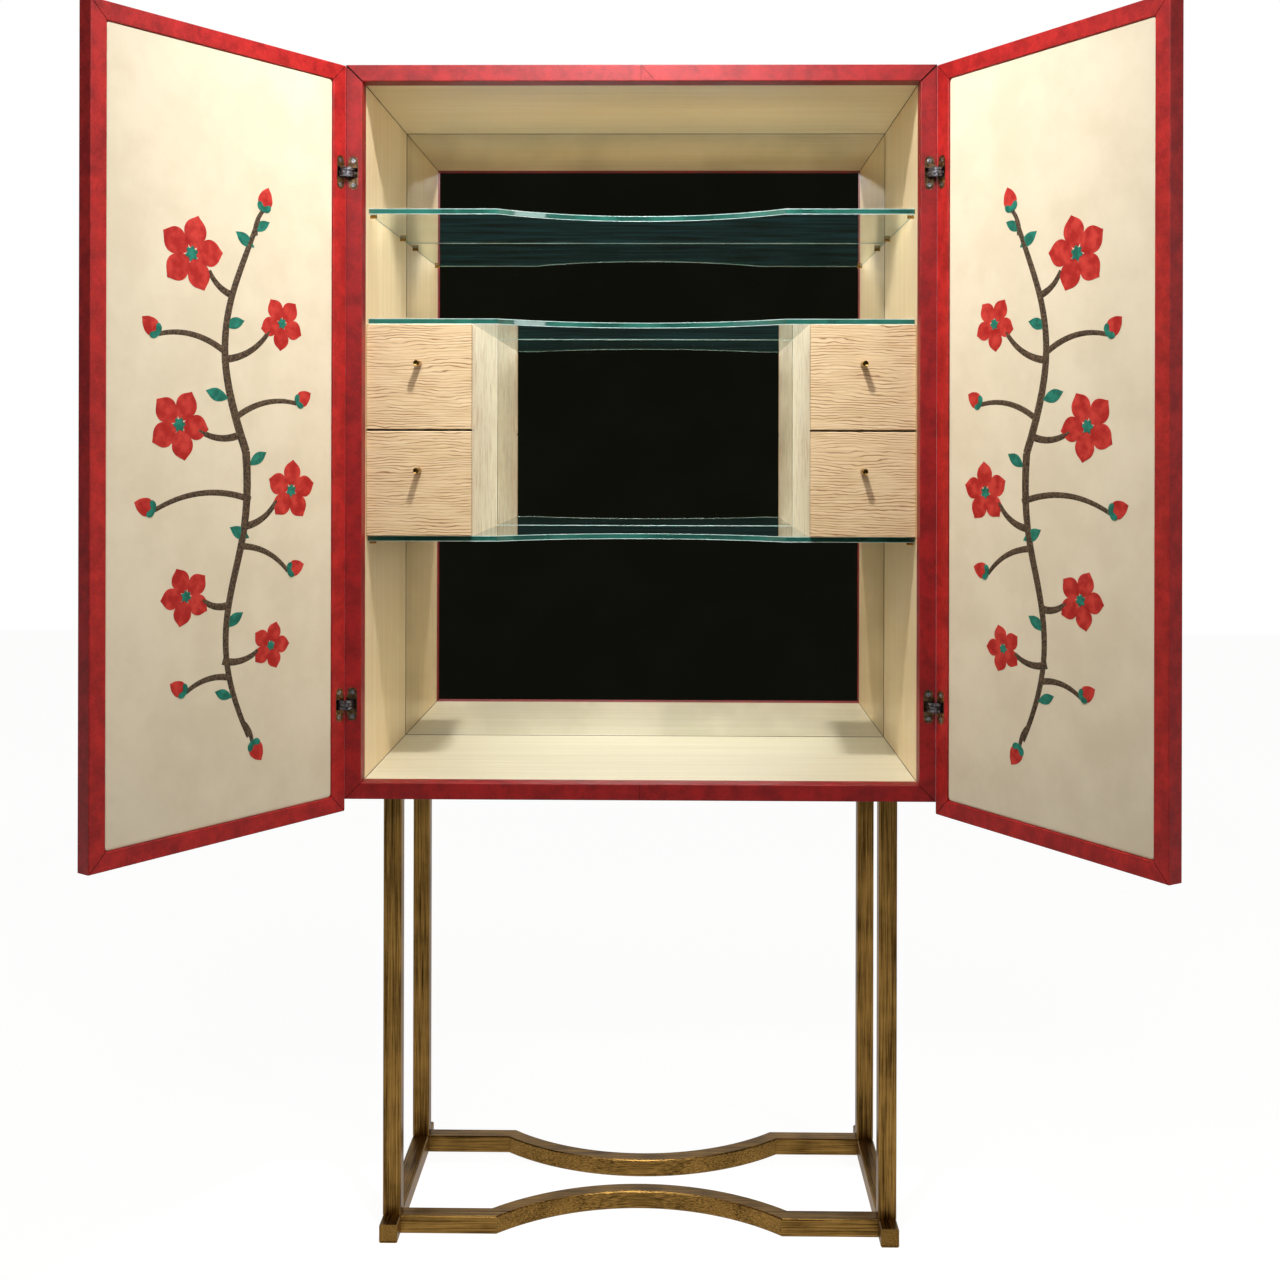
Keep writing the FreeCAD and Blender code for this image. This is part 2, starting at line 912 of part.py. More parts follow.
def make_hinge_masters():
    """One housing, its screws and the mortise they need, about an axis at the origin.

    The leaf's face is at y = axis_gap, and the block behind it lies towards +Y and +X.
    """
    one_screw, hole = screw_and_hole(
        "hinge_screw",
        s.hinge_screw_shank,
        s.hinge_screw_head,
        s.hinge_screw_head_depth,
        s.hinge_screw_length,
    )
    leaf_middle = s.leaf_from_axis + s.leaf_width / 2
    spots = [
        (leaf_middle, s.axis_gap, sign * s.hinge_screw_spread, -90, X_AXIS) for sign in (-1, 1)
    ]
    screws = copies("hinge_screw_pair", one_screw, spots)
    holes = copies("hinge_hole_pair", hole, spots)
    well_height = s.link_height + 2 * s.link_play
    well = box(
        "housing_well",
        s.housing_width - 2 * s.housing_wall,
        s.housing_depth - s.housing_wall,
        well_height,
    )
    place(well, s.housing_from_axis + s.housing_wall, s.axis_gap, -well_height / 2)
    hollow = cut("housing_hollow", housing_blank("housing_blank"), well)
    housing = cut("housing", hollow, holes)
    mortise = fused("hinge_mortise", [housing_blank("mortise_blank", s.housing_play), holes])
    return housing, screws, mortise


def axis_x(sign):
    return sign * (half_width - s.axis_inset)


def make_carcass_hinges(housing, screws, mortise):
    """Housings let into the front edges; returns the mortises by side."""
    housing_spots = []
    mortises = {}
    for side, sign in SIDES:
        spots = []
        for z in hinge_heights:
            turn = (0 if sign < 0 else 180, Y_AXIS)
            spots.append((axis_x(sign), front_y - s.axis_gap, z, *turn))
        mortises[side] = copies(f"mortises_{side}", mortise, spots)
        housing_spots += spots
    node(copies("hinge_housings_carcass", housing, housing_spots))
    node(copies("hinge_screws_carcass", screws, housing_spots))
    return mortises


def make_links():
    """The arc between the two housings of a hinge turns half as far as the door."""
    half_span = s.link_span / 2
    link = arc_block(
        "hinge_link", s.link_inner, s.link_outer, -half_span, half_span, s.link_height
    )
    angles = {"left": -s.door_left_angle / 2, "right": s.door_right_angle / 2 + 180}
    for side, sign in SIDES:
        spots = [
            (axis_x(sign), front_y - s.axis_gap, z, angles[side], Z_AXIS) for z in hinge_heights
        ]
        node(copies(f"hinge_links_{side}", link, spots))


def hang(piece, sign):
    """Hang a piece that was made on the shut door, with the axis at its origin."""
    angle = -s.door_left_angle if sign < 0 else s.door_right_angle
    return node(in_cabinet(piece, axis_x(sign), -s.axis_gap, door_foot, angle))


def make_door(side, sign, housing, screws, mortise):
    """A door in its own frame: the axis at the origin, the shut door along +X or -X."""
    left, right = (as_size(0), door_width) if sign < 0 else (-door_width, as_size(0))
    inner_face = -s.axis_gap
    outer_face = inner_face - s.door_thickness
    seat = outer_face + s.door_board
    flip = (180, X_AXIS) if sign < 0 else (180, Z_AXIS)
    spots = [(0, 0, z - door_foot, *flip) for z in hinge_heights]
    mortises = copies(f"door_{side}_mortises", mortise, spots)

    core = new_body(f"door_{side}_core")
    pad(
        core,
        outline(core, "XZ_Plane", rectangle(left, 0, right, door_height)),
        s.door_board,
        True,
    )
    dress(core, "Fillet", s.edge_round, flat_at("Y", 0))
    place(core, 0, outer_face, 0)
    hang(cut(f"door_{side}_board", core, mortises), sign)

    members = mitred_frame(
        f"door_{side}_border",
        left,
        as_size(0),
        right,
        door_height,
        s.door_border,
        s.door_thickness - s.door_board,
        s.edge_round,
    )
    # Each member is made face down, so it is turned over end for end.
    for body in members.values():
        place(body, 0, inner_face, door_height, 180, X_AXIS)
    by_hinge = "left" if sign < 0 else "right"
    members[by_hinge] = cut(f"door_{side}_hinge_stile", members[by_hinge], mortises)
    hang(group(f"door_{side}_border", list(members.values())), sign)

    cushion = new_body(f"door_{side}_pad")
    rim = s.door_border
    window = rectangle(left + rim, rim, right - rim, door_height - rim)
    pad(cushion, outline(cushion, "XZ_Plane", window, None, -seat), s.pad_thickness, True)
    dress(cushion, "Fillet", s.pad_corner, along("Y"))
    hang(cushion, sign)

    hang(copies(f"hinge_housings_door_{side}", housing, spots), sign)
    hang(copies(f"hinge_screws_door_{side}", screws, spots), sign)


def check_document():
    """Stop if any object failed or any node has no sound shape."""
    doc.recompute()
    for item in doc.Objects:
        if {"Invalid", "Error"} & set(item.State):
            raise ValueError(f"{item.Label} is {item.State}")
    for piece in nodes:
        if piece.Shape.isNull() or not piece.Shape.isValid():
            raise ValueError(f"{piece.Label} has no valid shape")


def write_parts():
    os.makedirs("parts", exist_ok=True)
    for piece in nodes:
        Part.makeCompound(piece.Shape.Solids).exportStep(f"parts/{piece.Label}.step")


make_carcass(make_stand(), make_pegs())
hinge_housing, hinge_screws, hinge_mortise = make_hinge_masters()
make_front_edges(make_carcass_hinges(hinge_housing, hinge_screws, hinge_mortise))
make_shelves()
make_drawers()
make_links()
for door_side, door_sign in SIDES:
    make_door(door_side, door_sign, hinge_housing, hinge_screws, hinge_mortise)
check_document()
write_parts()
print(f"{len(nodes)} nodes, {sum(len(piece.Shape.Solids) for piece in nodes)} solids")
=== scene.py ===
import json
import math
from types import SimpleNamespace

import bmesh
import bpy
from mathutils import Matrix, Vector


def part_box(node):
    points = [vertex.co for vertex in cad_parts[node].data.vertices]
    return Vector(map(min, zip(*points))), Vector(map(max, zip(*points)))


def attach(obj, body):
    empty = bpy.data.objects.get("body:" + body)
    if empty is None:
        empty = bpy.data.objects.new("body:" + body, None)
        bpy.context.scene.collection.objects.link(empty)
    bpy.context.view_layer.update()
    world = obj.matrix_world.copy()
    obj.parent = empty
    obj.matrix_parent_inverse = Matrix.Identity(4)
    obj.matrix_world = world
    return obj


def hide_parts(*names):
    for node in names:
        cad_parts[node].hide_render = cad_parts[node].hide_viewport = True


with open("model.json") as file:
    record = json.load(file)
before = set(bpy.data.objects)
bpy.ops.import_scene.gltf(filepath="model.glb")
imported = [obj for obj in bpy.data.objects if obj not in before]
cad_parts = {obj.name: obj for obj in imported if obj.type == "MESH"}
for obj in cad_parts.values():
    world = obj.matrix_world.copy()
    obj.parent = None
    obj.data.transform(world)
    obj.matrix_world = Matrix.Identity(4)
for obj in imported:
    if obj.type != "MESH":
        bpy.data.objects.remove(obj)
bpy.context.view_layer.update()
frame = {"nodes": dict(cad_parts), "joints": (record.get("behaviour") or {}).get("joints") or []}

MM = 0.001
SAME_PLACE = 0.01 * MM
SOFT_CREASE = math.radians(35)
NODES = frame["nodes"]
JOINTS = {joint["name"]: joint for joint in frame["joints"]}
SIDES = ("left", "right")
LEVELS = ("lower", "upper")
SHELVES = ("lower", "middle", "upper")


# ---- Small tools ----


def linear(colour):
    """The linear colour of an sRGB hex value."""
    channels = [int(colour[start:start + 2], 16) / 255 for start in (0, 2, 4)]
    return [
        channel / 12.92 if channel <= 0.04045 else ((channel + 0.055) / 1.055) ** 2.4
        for channel in channels
    ] + [1]


def node(tree, kind, inputs=None, **settings):
    """Add a node to a tree, with its settings and with what its inputs hold or are linked to."""
    made = tree.nodes.new(kind)
    for name, value in settings.items():
        setattr(made, name, value)
    for name, value in (inputs or {}).items():
        if isinstance(value, bpy.types.NodeSocket):
            tree.links.new(value, made.inputs[name])
        else:
            made.inputs[name].default_value = value
    return made


def new_material(name):
    """A material with an empty node tree."""
    material = bpy.data.materials.new(name)
    material.use_nodes = True
    material.node_tree.nodes.clear()
    return material, material.node_tree


def stretched(tree, x=0, y=0, z=0):
    """Object coordinates scaled so that one unit is a given number of millimetres each way."""
    place = node(tree, "ShaderNodeTexCoord").outputs["Object"]
    scale = [1 / (size * MM) if size else 0 for size in (x, y, z)]
    return node(tree, "ShaderNodeMapping", {"Vector": place, "Scale": scale}).outputs[0]


def between(tree, factor, low, high, first, last):
    """A value or colour that goes from first to last while factor goes from low to high."""
    share = node(
        tree,
        "ShaderNodeMapRange",
        {"Value": factor, "From Min": low, "From Max": high},
        interpolation_type="SMOOTHSTEP",
    ).outputs[0]
    if isinstance(first, (int, float)):
        ends = {"Value": share, "To Min": first, "To Max": last}
        return node(tree, "ShaderNodeMapRange", ends).outputs[0]
    ends = {0: share, 6: first, 7: last}
    return node(tree, "ShaderNodeMix", ends, data_type="RGBA").outputs[2]


def surface(tree, bump=None, **sockets):
    """The shader and output of an opaque or clear solid; bump is (height, distance in mm)."""
    inputs = {name.replace("_", " "): value for name, value in sockets.items()}
    if bump:
        height, distance = bump
        relief = {"Height": height, "Distance": distance * MM, "Strength": 1}
        inputs["Normal"] = node(tree, "ShaderNodeBump", relief).outputs[0]
    shader = node(tree, "ShaderNodeBsdfPrincipled", inputs)
    return node(tree, "ShaderNodeOutputMaterial", {"Surface": shader.outputs[0]})


def dress(material, *names):
    """Give CAD nodes a finish."""
    for name in names:
        for slot in NODES[name].material_slots:
            slot.material = material


def piece(name, shape, material, body, replaced=()):
    """Turn a bmesh into a piece that rides on a body."""
    bmesh.ops.recalc_face_normals(shape, faces=shape.faces)
    for face in shape.faces:
        face.smooth = True
    for edge in shape.edges:
        edge.smooth = edge.is_manifold and edge.calc_face_angle() < SOFT_CREASE
    mesh = bpy.data.meshes.new(name)
    shape.to_mesh(mesh)
    shape.free()
    mesh.materials.append(material)
    made = bpy.data.objects.new(name, mesh)
    bpy.context.scene.collection.objects.link(made)
    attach(made, body)
    if replaced:
        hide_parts(*replaced)
    return made


# ---- Leather ----


def nubuck(name, deep, light):
    """Nubuck, calfskin sanded to a short nap: cloudy where the nap lies either way."""
    material, tree = new_material(name)
    clouds = node(
        tree,
        "ShaderNodeTexNoise",
        {"Vector": stretched(tree, 26, 26, 26), "Scale": 1, "Detail": 6, "Roughness": 0.7},
    ).outputs[0]
    nap = node(
        tree,
        "ShaderNodeTexNoise",
        {"Vector": stretched(tree, 1.8, 1.8, 1.8), "Scale": 1, "Detail": 2},
    ).outputs[0]
    both = node(
        tree, "ShaderNodeMath", {0: nap, 1: 0.45, 2: clouds}, operation="MULTIPLY_ADD"
    ).outputs[0]
    colour = between(tree, both, 0.5, 0.98, linear(deep), linear(light))
    surface(
        tree,
        (nap, 0.25),
        Base_Color=colour,
        Roughness=0.46,
        Specular_IOR_Level=0.38,
        Sheen_Weight=0.02,
        Sheen_Roughness=0.4,
        Sheen_Tint=linear("ff8a80"),
    )
    return material


def ivory_leather():
    """Ivory calfskin with a smooth natural grain, a little warmer where it is thicker."""
    material, tree = new_material("ivory_calfskin_smooth")
    clouds = node(
        tree,
        "ShaderNodeTexNoise",
        {"Vector": stretched(tree, 90, 90, 90), "Scale": 1, "Detail": 4, "Roughness": 0.6},
    ).outputs[0]
    grain = node(
        tree,
        "ShaderNodeTexVoronoi",
        {"Vector": stretched(tree, 2.2, 2.2, 2.2), "Scale": 1},
    ).outputs[0]
    colour = between(tree, clouds, 0.3, 0.7, linear("d6c7a9"), linear("dfd1b4"))
    surface(
        tree,
        (grain, 0.03),
        Base_Color=colour,
        Roughness=0.5,
        Specular_IOR_Level=0.4,
        Sheen_Weight=0.1,
    )
    return material


def cut_leather(name, deep, light, patch, grain):
    """Thin dyed leather cut to shape: blotched in patches of a given size, with a fine grain."""
    material, tree = new_material(name)
    blotches = node(
        tree,
        "ShaderNodeTexNoise",
        {"Vector": stretched(tree, patch, patch, patch), "Scale": 1, "Detail": 4},
    ).outputs[0]
    pores = node(
        tree,
        "ShaderNodeTexVoronoi",
        {"Vector": stretched(tree, grain, grain, grain), "Scale": 1},
    ).outputs[0]
    colour = between(tree, blotches, 0.35, 0.68, linear(deep), linear(light))
    surface(tree, (pores, 0.12), Base_Color=colour, Roughness=0.6, Specular_IOR_Level=0.3)
    return material


def dark_seam(name, deep, light):
    """The shadow in a joint, where two covered edges meet and no light gets in."""
    material, tree = new_material(name)
    shade_mottle = node(
        tree,
        "ShaderNodeTexNoise",
        {"Vector": stretched(tree, 6, 6, 6), "Scale": 1, "Detail": 2},
    ).outputs[0]
    # Painted shade, mottled between two near-blacks.
    colour = between(tree, shade_mottle, 0.3, 0.7, linear(deep), linear(light))
    surface(tree, Base_Color=colour, Roughness=0.9, Specular_IOR_Level=0.1)
    return material


# ---- Wood ----


def lining_veneer(name, grain_size, dark, pale):
    """Pale lacquered veneer: faint streaks along the grain under a satin film."""
    material, tree = new_material(name)
    streaks = node(
        tree,
        "ShaderNodeTexNoise",
        {"Vector": stretched(tree, *grain_size), "Scale": 1, "Detail": 5, "Roughness": 0.6},
    ).outputs[0]
    colour = between(tree, streaks, 0.3, 0.7, linear(dark), linear(pale))
    surface(
        tree,
        (streaks, 0.05),
        Base_Color=colour,
        Roughness=0.42,
        Coat_Weight=0.1,
        Coat_Roughness=0.25,
    )
    return material


def larch():
    """Planed larch: fine brown late-wood lines, close in one board and open in another."""
    material, tree = new_material("larch_planed_and_oiled")
    wander = node(
        tree,
        "ShaderNodeTexNoise",
        {"Vector": stretched(tree, 180, 180, 60), "Scale": 1, "Detail": 4, "Roughness": 0.55},
    ).outputs[0]
    fibres = node(
        tree,
        "ShaderNodeTexNoise",
        {"Vector": stretched(tree, 60, 60, 1.2), "Scale": 1, "Detail": 4},
    ).outputs[0]
    patches = node(
        tree,
        "ShaderNodeTexNoise",
        {"Vector": stretched(tree, 70, 70, 22), "Scale": 1, "Detail": 2},
    ).outputs[0]
    height = node(
        tree,
        "ShaderNodeSeparateXYZ",
        {0: stretched(tree, 1000, 1000, 4.6)},
    ).outputs[2]
    bent = node(
        tree, "ShaderNodeMath", {0: wander, 1: 8.0, 2: height}, operation="MULTIPLY_ADD"
    ).outputs[0]
    ring = node(tree, "ShaderNodeMath", {0: bent, 1: 0.5}, operation="PINGPONG").outputs[0]
    line = between(tree, ring, 0.28, 0.5, 0.0, 1.0)
    strength = between(tree, patches, 0.36, 0.6, 0.3, 1.0)
    late = node(tree, "ShaderNodeMath", {0: line, 1: strength}, operation="MULTIPLY").outputs[0]
    early = between(tree, fibres, 0.32, 0.68, linear("ceae80"), linear("e2c89e"))
    colour = node(
        tree,
        "ShaderNodeMix",
        {0: late, 6: early, 7: linear("8a5c33")},
        data_type="RGBA",
    ).outputs[2]
    surface(tree, (fibres, 0.06), Base_Color=colour, Roughness=0.5)
    return material


def pale_ash():
    """Planed ash in thin boards, upright in the grain, with short brown flecks."""
    material, tree = new_material("pale_ash_planed")
    streaks = node(
        tree,
        "ShaderNodeTexNoise",
        {"Vector": stretched(tree, 9, 9, 160), "Scale": 1, "Detail": 5},
    ).outputs[0]
    flecks = node(
        tree,
        "ShaderNodeTexNoise",
        {"Vector": stretched(tree, 4, 4, 34), "Scale": 1, "Detail": 6, "Roughness": 0.65},
    ).outputs[0]
    stains = node(
        tree,
        "ShaderNodeTexNoise",
        {"Vector": stretched(tree, 20, 20, 46), "Scale": 1, "Detail": 3, "Roughness": 0.6},
    ).outputs[0]
    clean = between(tree, streaks, 0.3, 0.7, linear("f0dcb8"), linear("f9ebce"))
    ground = between(tree, stains, 0.5, 0.72, clean, linear("d8be95"))
    spotted = between(tree, flecks, 0.5, 0.72, 0.0, 0.75)
    colour = node(
        tree,
        "ShaderNodeMix",
        {0: spotted, 6: ground, 7: linear("a9855a")},
        data_type="RGBA",
    ).outputs[2]
    surface(tree, (streaks, 0.05), Base_Color=colour, Roughness=0.5)
    return material


# ---- Glass ----


def shelf_glass():
    """Float glass: clear through its face and green along it.

    The haze of light that its surface catches is painted as a faint glow in streaks, though the
    glass is no lamp.
    """
    material, tree = new_material("float_glass_polished_edges")
    streaks = node(
        tree,
        "ShaderNodeTexNoise",
        {"Vector": stretched(tree, 150, 26, 26), "Scale": 1, "Detail": 5, "Roughness": 0.65},
    ).outputs[0]
    # Painted light: the colour of a faint glow in streaks, which the glass gives off though it
    # is no lamp.
    painted_glow = between(tree, streaks, 0.36, 0.7, linear("1a211d"), linear("284c4d"))
    shader = surface(
        tree,
        Base_Color=linear("f3fbf8"),
        Roughness=0.0,
        IOR=1.52,
        Transmission_Weight=1.0,
        Emission_Color=painted_glow,
        Emission_Strength=0.24,
    )
    tint = node(
        tree, "ShaderNodeVolumeAbsorption", {"Color": linear("9adfc6"), "Density": 6.0}
    )
    tree.links.new(tint.outputs[0], shader.inputs["Volume"])
    return material


def edge_glass():
    """The polished edge of float glass: light that ran along the pane leaves it sea-green."""
    material, tree = new_material("float_glass_edge_green")
    streaks = node(
        tree,
        "ShaderNodeTexNoise",
        {"Vector": stretched(tree, 70, 70, 60), "Scale": 1, "Detail": 2},
    ).outputs[0]
    colour = between(tree, streaks, 0.3, 0.7, linear("245a4e"), linear("37786a"))
    surface(
        tree,
        Base_Color=colour,
        Roughness=0.08,
        IOR=1.52,
        Transmission_Weight=0.35,
        Coat_Weight=0.6,
        Coat_Roughness=0.03,
    )
    return material


def ground_glass():
    """The ground arris of float glass: frosted, so it shows as a thin pale green line."""
    material, tree = new_material("float_glass_ground_arris")
    chips = node(
        tree,
        "ShaderNodeTexNoise",
        {"Vector": stretched(tree, 12, 12, 12), "Scale": 1, "Detail": 3},
    ).outputs[0]
    colour = between(tree, chips, 0.35, 0.65, linear("c4ddd5"), linear("e6f4ef"))
    surface(tree, Base_Color=colour, Roughness=0.2, IOR=1.52, Transmission_Weight=0.2)
    return material


def silvered_mirror():
    """Silvered float glass: a clean reflection, a touch green and a touch dark."""
    material, tree = new_material("mirror_silvered_glass")
    silvering = node(
        tree,
        "ShaderNodeTexNoise",
        {"Vector": stretched(tree, 120, 120, 120), "Scale": 1, "Detail": 3},
    ).outputs[0]
    surface(
        tree,
        Base_Color=between(tree, silvering, 0.35, 0.65, linear("dcdbd3"), linear("ebe9e3")),
        Metallic=1.0,
        Roughness=0.01,
    )
    return material


# ---- Metal ----


def bronzed_steel(name, streak_size):
    """Steel tube brushed along its length and bronzed: golden where the brush wore it bare."""
    material, tree = new_material(name)
    brushed = node(
        tree,
        "ShaderNodeTexNoise",
        {"Vector": stretched(tree, *streak_size), "Scale": 1, "Detail": 6, "Roughness": 0.7},
    ).outputs[0]
    clouds = node(
        tree,
        "ShaderNodeTexNoise",
        {"Vector": stretched(tree, 60, 60, 60), "Scale": 1, "Detail": 4},
    ).outputs[0]
    both = node(
        tree, "ShaderNodeMath", {0: clouds, 1: 0.3, 2: brushed}, operation="MULTIPLY_ADD"
    ).outputs[0]
    colour = between(tree, both, 0.45, 0.85, linear("3a260c"), linear("b48a48"))
    roughness = between(tree, brushed, 0.3, 0.7, 0.3, 0.42)
    surface(
        tree,
        (brushed, 0.02),
        Base_Color=colour,
        Metallic=1.0,
        Roughness=roughness,
        Anisotropic=0.4,
    )
    return material


def polished_brass():
    """Turned and polished brass."""
    material, tree = new_material("brass_turned_and_polished")
    turned = node(
        tree,
        "ShaderNodeTexNoise",
        {"Vector": stretched(tree, 3, 0.6, 3), "Scale": 1, "Detail": 3},
    ).outputs[0]
    colour = between(tree, turned, 0.3, 0.7, linear("8f6c34"), linear("b8924e"))
    surface(tree, (turned, 0.005), Base_Color=colour, Metallic=1.0, Roughness=0.22)
    return material


def hinge_metal(name, dark, light, roughness):
    """Zinc casting, tumbled and dipped: even, with slightly worn high spots."""
    material, tree = new_material(name)
    worn = node(
        tree,
        "ShaderNodeTexNoise",
        {"Vector": stretched(tree, 4, 4, 4), "Scale": 1, "Detail": 4},
    ).outputs[0]
    colour = between(tree, worn, 0.35, 0.7, linear(dark), linear(light))
    surface(tree, (worn, 0.03), Base_Color=colour, Metallic=1.0, Roughness=roughness)
    return material


# One red nubuck in two copies: the door copy is painted lighter than the carcass copy, for more
# light falling on the doors.
red = nubuck("red_nubuck_sanded_calf", "74090a", "a01614")
door_red_painted_lighter = nubuck("red_nubuck_door_painted_lighter", "860d0c", "bb221e")
ivory = ivory_leather()
petal_leather = cut_leather("petal_leather_red", "a31712", "c4372d", 14, 1.2)
stem_leather = cut_leather("stem_leather_brown_embossed", "2f2217", "64503a", 3.0, 1.6)
leaf_leather = cut_leather("leaf_leather_teal", "0d5c4a", "1f7d68", 10, 1.2)
seam = dark_seam("leather_joint_shadow_matt", "160504", "2c0d09")
wood_seam = dark_seam("veneer_joint_shadow_matt", "2c1d0c", "4a3519")
# One maple veneer in three copies. Besides the grain running upright or level, their colours
# differ as painted light: the floor copy greyer for the strong light on it, the wall and ceiling
# copies warmer for the shade they are in.
upright_veneer = lining_veneer("maple_veneer_upright_satin", (14, 14, 420), "ecd09e", "f3dcb2")
level_veneer = lining_veneer("maple_veneer_level_satin", (420, 14, 14), "ecd2a4", "f3deb6")
floor_veneer_painted_greyer = lining_veneer("maple_veneer_floor_satin", (420, 14, 14), "dacdab", "e3d9bb")
larch_wood = larch()
ash_wood = pale_ash()
glass = shelf_glass()
glass_edge = edge_glass()
glass_arris = ground_glass()
mirror = silvered_mirror()
bronze_z = bronzed_steel("bronzed_steel_upright_brushed", (1.6, 1.6, 120))
bronze_y = bronzed_steel("bronzed_steel_rail_brushed", (1.6, 120, 1.6))
bronze_x = bronzed_steel("bronzed_steel_stretcher_brushed", (120, 1.6, 1.6))
brass = polished_brass()
hinge_dark = hinge_metal("hinge_zinc_antique_bronze", "5a4531", "9c7f5c", 0.38)
hinge_light = hinge_metal("hinge_screw_zinc_nickel", "8a888c", "c8c6c9", 0.3)
hinge_link = hinge_metal("hinge_link_zinc_nickel", "3d3b3d", "9a979c", 0.42)
steel_plate = hinge_metal("plate_steel_blackened", "2b2a29", "4a4744", 0.5)

dress(red, "carcass_side_left", "carcass_side_right", "carcass_top", "carcass_bottom")
dress(red, "carcass_back", "front_edge_left", "front_edge_right", "front_edge_top")
dress(red, "front_edge_bottom")
# The doors' leather is the lighter, painted copy of the carcass nubuck.
dress(door_red_painted_lighter, "door_left_board", "door_right_board")
dress(door_red_painted_lighter, "door_left_border", "door_right_border")
dress(upright_veneer, "lining_left", "lining_right")
dress(level_veneer, "lining_top")
dress(floor_veneer_painted_greyer, "lining_bottom")
dress(mirror, "mirror_back")
# The shelves cast no shadow, so that light reaches what lies below them.
for level in SHELVES:
    dress(glass, f"shelf_{level}")
    NODES[f"shelf_{level}"].visible_shadow = False
for side in SIDES:
    dress(ash_wood, f"drawer_case_{side}_sides", f"drawer_case_{side}_decks")
    dress(bronze_z, f"stand_leg_front_{side}", f"stand_leg_rear_{side}")
    dress(bronze_y, f"stand_rail_{side}")
    dress(hinge_dark, f"hinge_housings_door_{side}")
    dress(hinge_link, f"hinge_links_{side}")
    dress(hinge_light, f"hinge_screws_door_{side}")
    for level in LEVELS:
        dress(larch_wood, f"drawer_{side}_{level}_front")
        dress(ash_wood, f"drawer_{side}_{level}_box")
dress(ash_wood, "drawer_case_backs")
dress(bronze_x, "stand_stretcher_front", "stand_stretcher_rear")
dress(bronze_y, "stand_rail_caps")
dress(steel_plate, "stand_mounting_plates", "stand_plate_screws")
dress(hinge_dark, "hinge_housings_carcass")
dress(hinge_light, "hinge_screws_carcass")
dress(brass, "shelf_pegs")


# ---- Knobs ----


def make_knob(side, level):
    """A straight brass pin with an eased rim and a shallow dish in its end."""
    name = f"drawer_{side}_{level}_knob"
    low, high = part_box(name)
    radius = (high.x - low.x) / 2
    ease = 0.8 * MM
    dish = 0.6 * MM
    profile = [
        (0, high.y),
        (radius, high.y),
        (radius, low.y + ease),
        (radius - 0.3 * ease, low.y + 0.3 * ease),
        (radius - ease, low.y),
        (0.6 * radius, low.y + 0.5 * dish),
        (0, low.y + dish),
    ]
    centre = (low + high) / 2
    shape = bmesh.new()
    points = [shape.verts.new((centre.x + out, y, centre.z)) for out, y in profile]
    line = [shape.edges.new(pair) for pair in zip(points, points[1:])]
    bmesh.ops.spin(
        shape,
        geom=points + line,
        cent=centre,
        axis=(0, 1, 0),
        angle=math.tau,
        steps=40,
        use_merge=True,
    )
    bmesh.ops.remove_doubles(shape, verts=shape.verts, dist=SAME_PLACE)
    piece(f"knob_{side}_{level}", shape, brass, f"drawer_{side}_{level}", (name,))


for side in SIDES:
    for level in LEVELS:
        make_knob(side, level)


# ---- Carcass details ----

HAIRLINE = 1.2 * MM


def rod(shape, start, end, size, ease=0.2):
    """A square rod with its arrises eased by a share of its size, added to a bmesh."""
    start, end = Vector(start), Vector(end)
    made = bmesh.ops.create_cube(shape, size=1)["verts"]
    length = (end - start).length
    bmesh.ops.scale(shape, vec=(size, size, length), verts=made)
    edges = list({edge for vertex in made for edge in vertex.link_edges})
    made = bmesh.ops.bevel(
        shape,
        geom=edges,
        offset=ease * size,
        offset_type="OFFSET",
        segments=2,
        profile=0.5,
        affect="EDGES",
        material=-1,
    )["verts"]
    turn = (end - start).to_track_quat("Z", "X").to_matrix().to_4x4()
    bmesh.ops.transform(
        shape, matrix=Matrix.Translation((start + end) / 2) @ turn, verts=made
    )


def make_lining_joints():
    """The dark hairline where the lining boards meet each other and the mirror: painted shade in
    the joints.
    """
    low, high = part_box("lining_left")
    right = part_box("lining_right")[0].x
    left, front, back = high.x, low.y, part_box("mirror_back")[0].y
    bottom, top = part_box("lining_bottom")[1].z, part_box("lining_top")[0].z
    corners = [(left, bottom), (left, top), (right, top), (right, bottom)]
    setback = 2 * MM
    shape = bmesh.new()
    for x, z in corners:
        rod(shape, (x, front + setback, z), (x, back, z), HAIRLINE)
    for (x0, z0), (x1, z1) in zip(corners, corners[1:] + corners[:1]):
        rod(shape, (x0, back, z0), (x1, back, z1), HAIRLINE)
    piece("lining_joints", shape, wood_seam, "root")


def make_front_mitres():
    """The mitres and joins of the leather on the front edges, drawn dark as painted shade in the
    joints, heavier at the top corners.
    """
    low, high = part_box("front_edge_left")
    width = high.x - low.x
    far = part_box("front_edge_right")[1].x
    mitre_inset, bottom_mitre, top_mitre = 1.8 * MM, 0.8 * MM, 1.8 * MM
    join_inset, join_size, join_lean = 1.5 * MM, 0.5 * MM, 22 * MM
    join_end = width - 1 * MM
    shape = bmesh.new()
    for x, inward in ((low.x, 1), (far, -1)):
        for z, up, size in ((low.z, 1, bottom_mitre), (high.z, -1, top_mitre)):
            start = (x + inward * mitre_inset, low.y, z + up * mitre_inset)
            end = (x + inward * width, low.y, z + up * width)
            rod(shape, start, end, size)
    for z, up, lean in ((low.z, 1, 0), (high.z, -1, 0), (high.z, -1, join_lean)):
        start = (0, low.y, z + up * join_inset)
        rod(shape, start, (lean, low.y, z + up * join_end), join_size)
    piece("front_mitres", shape, seam, "root")


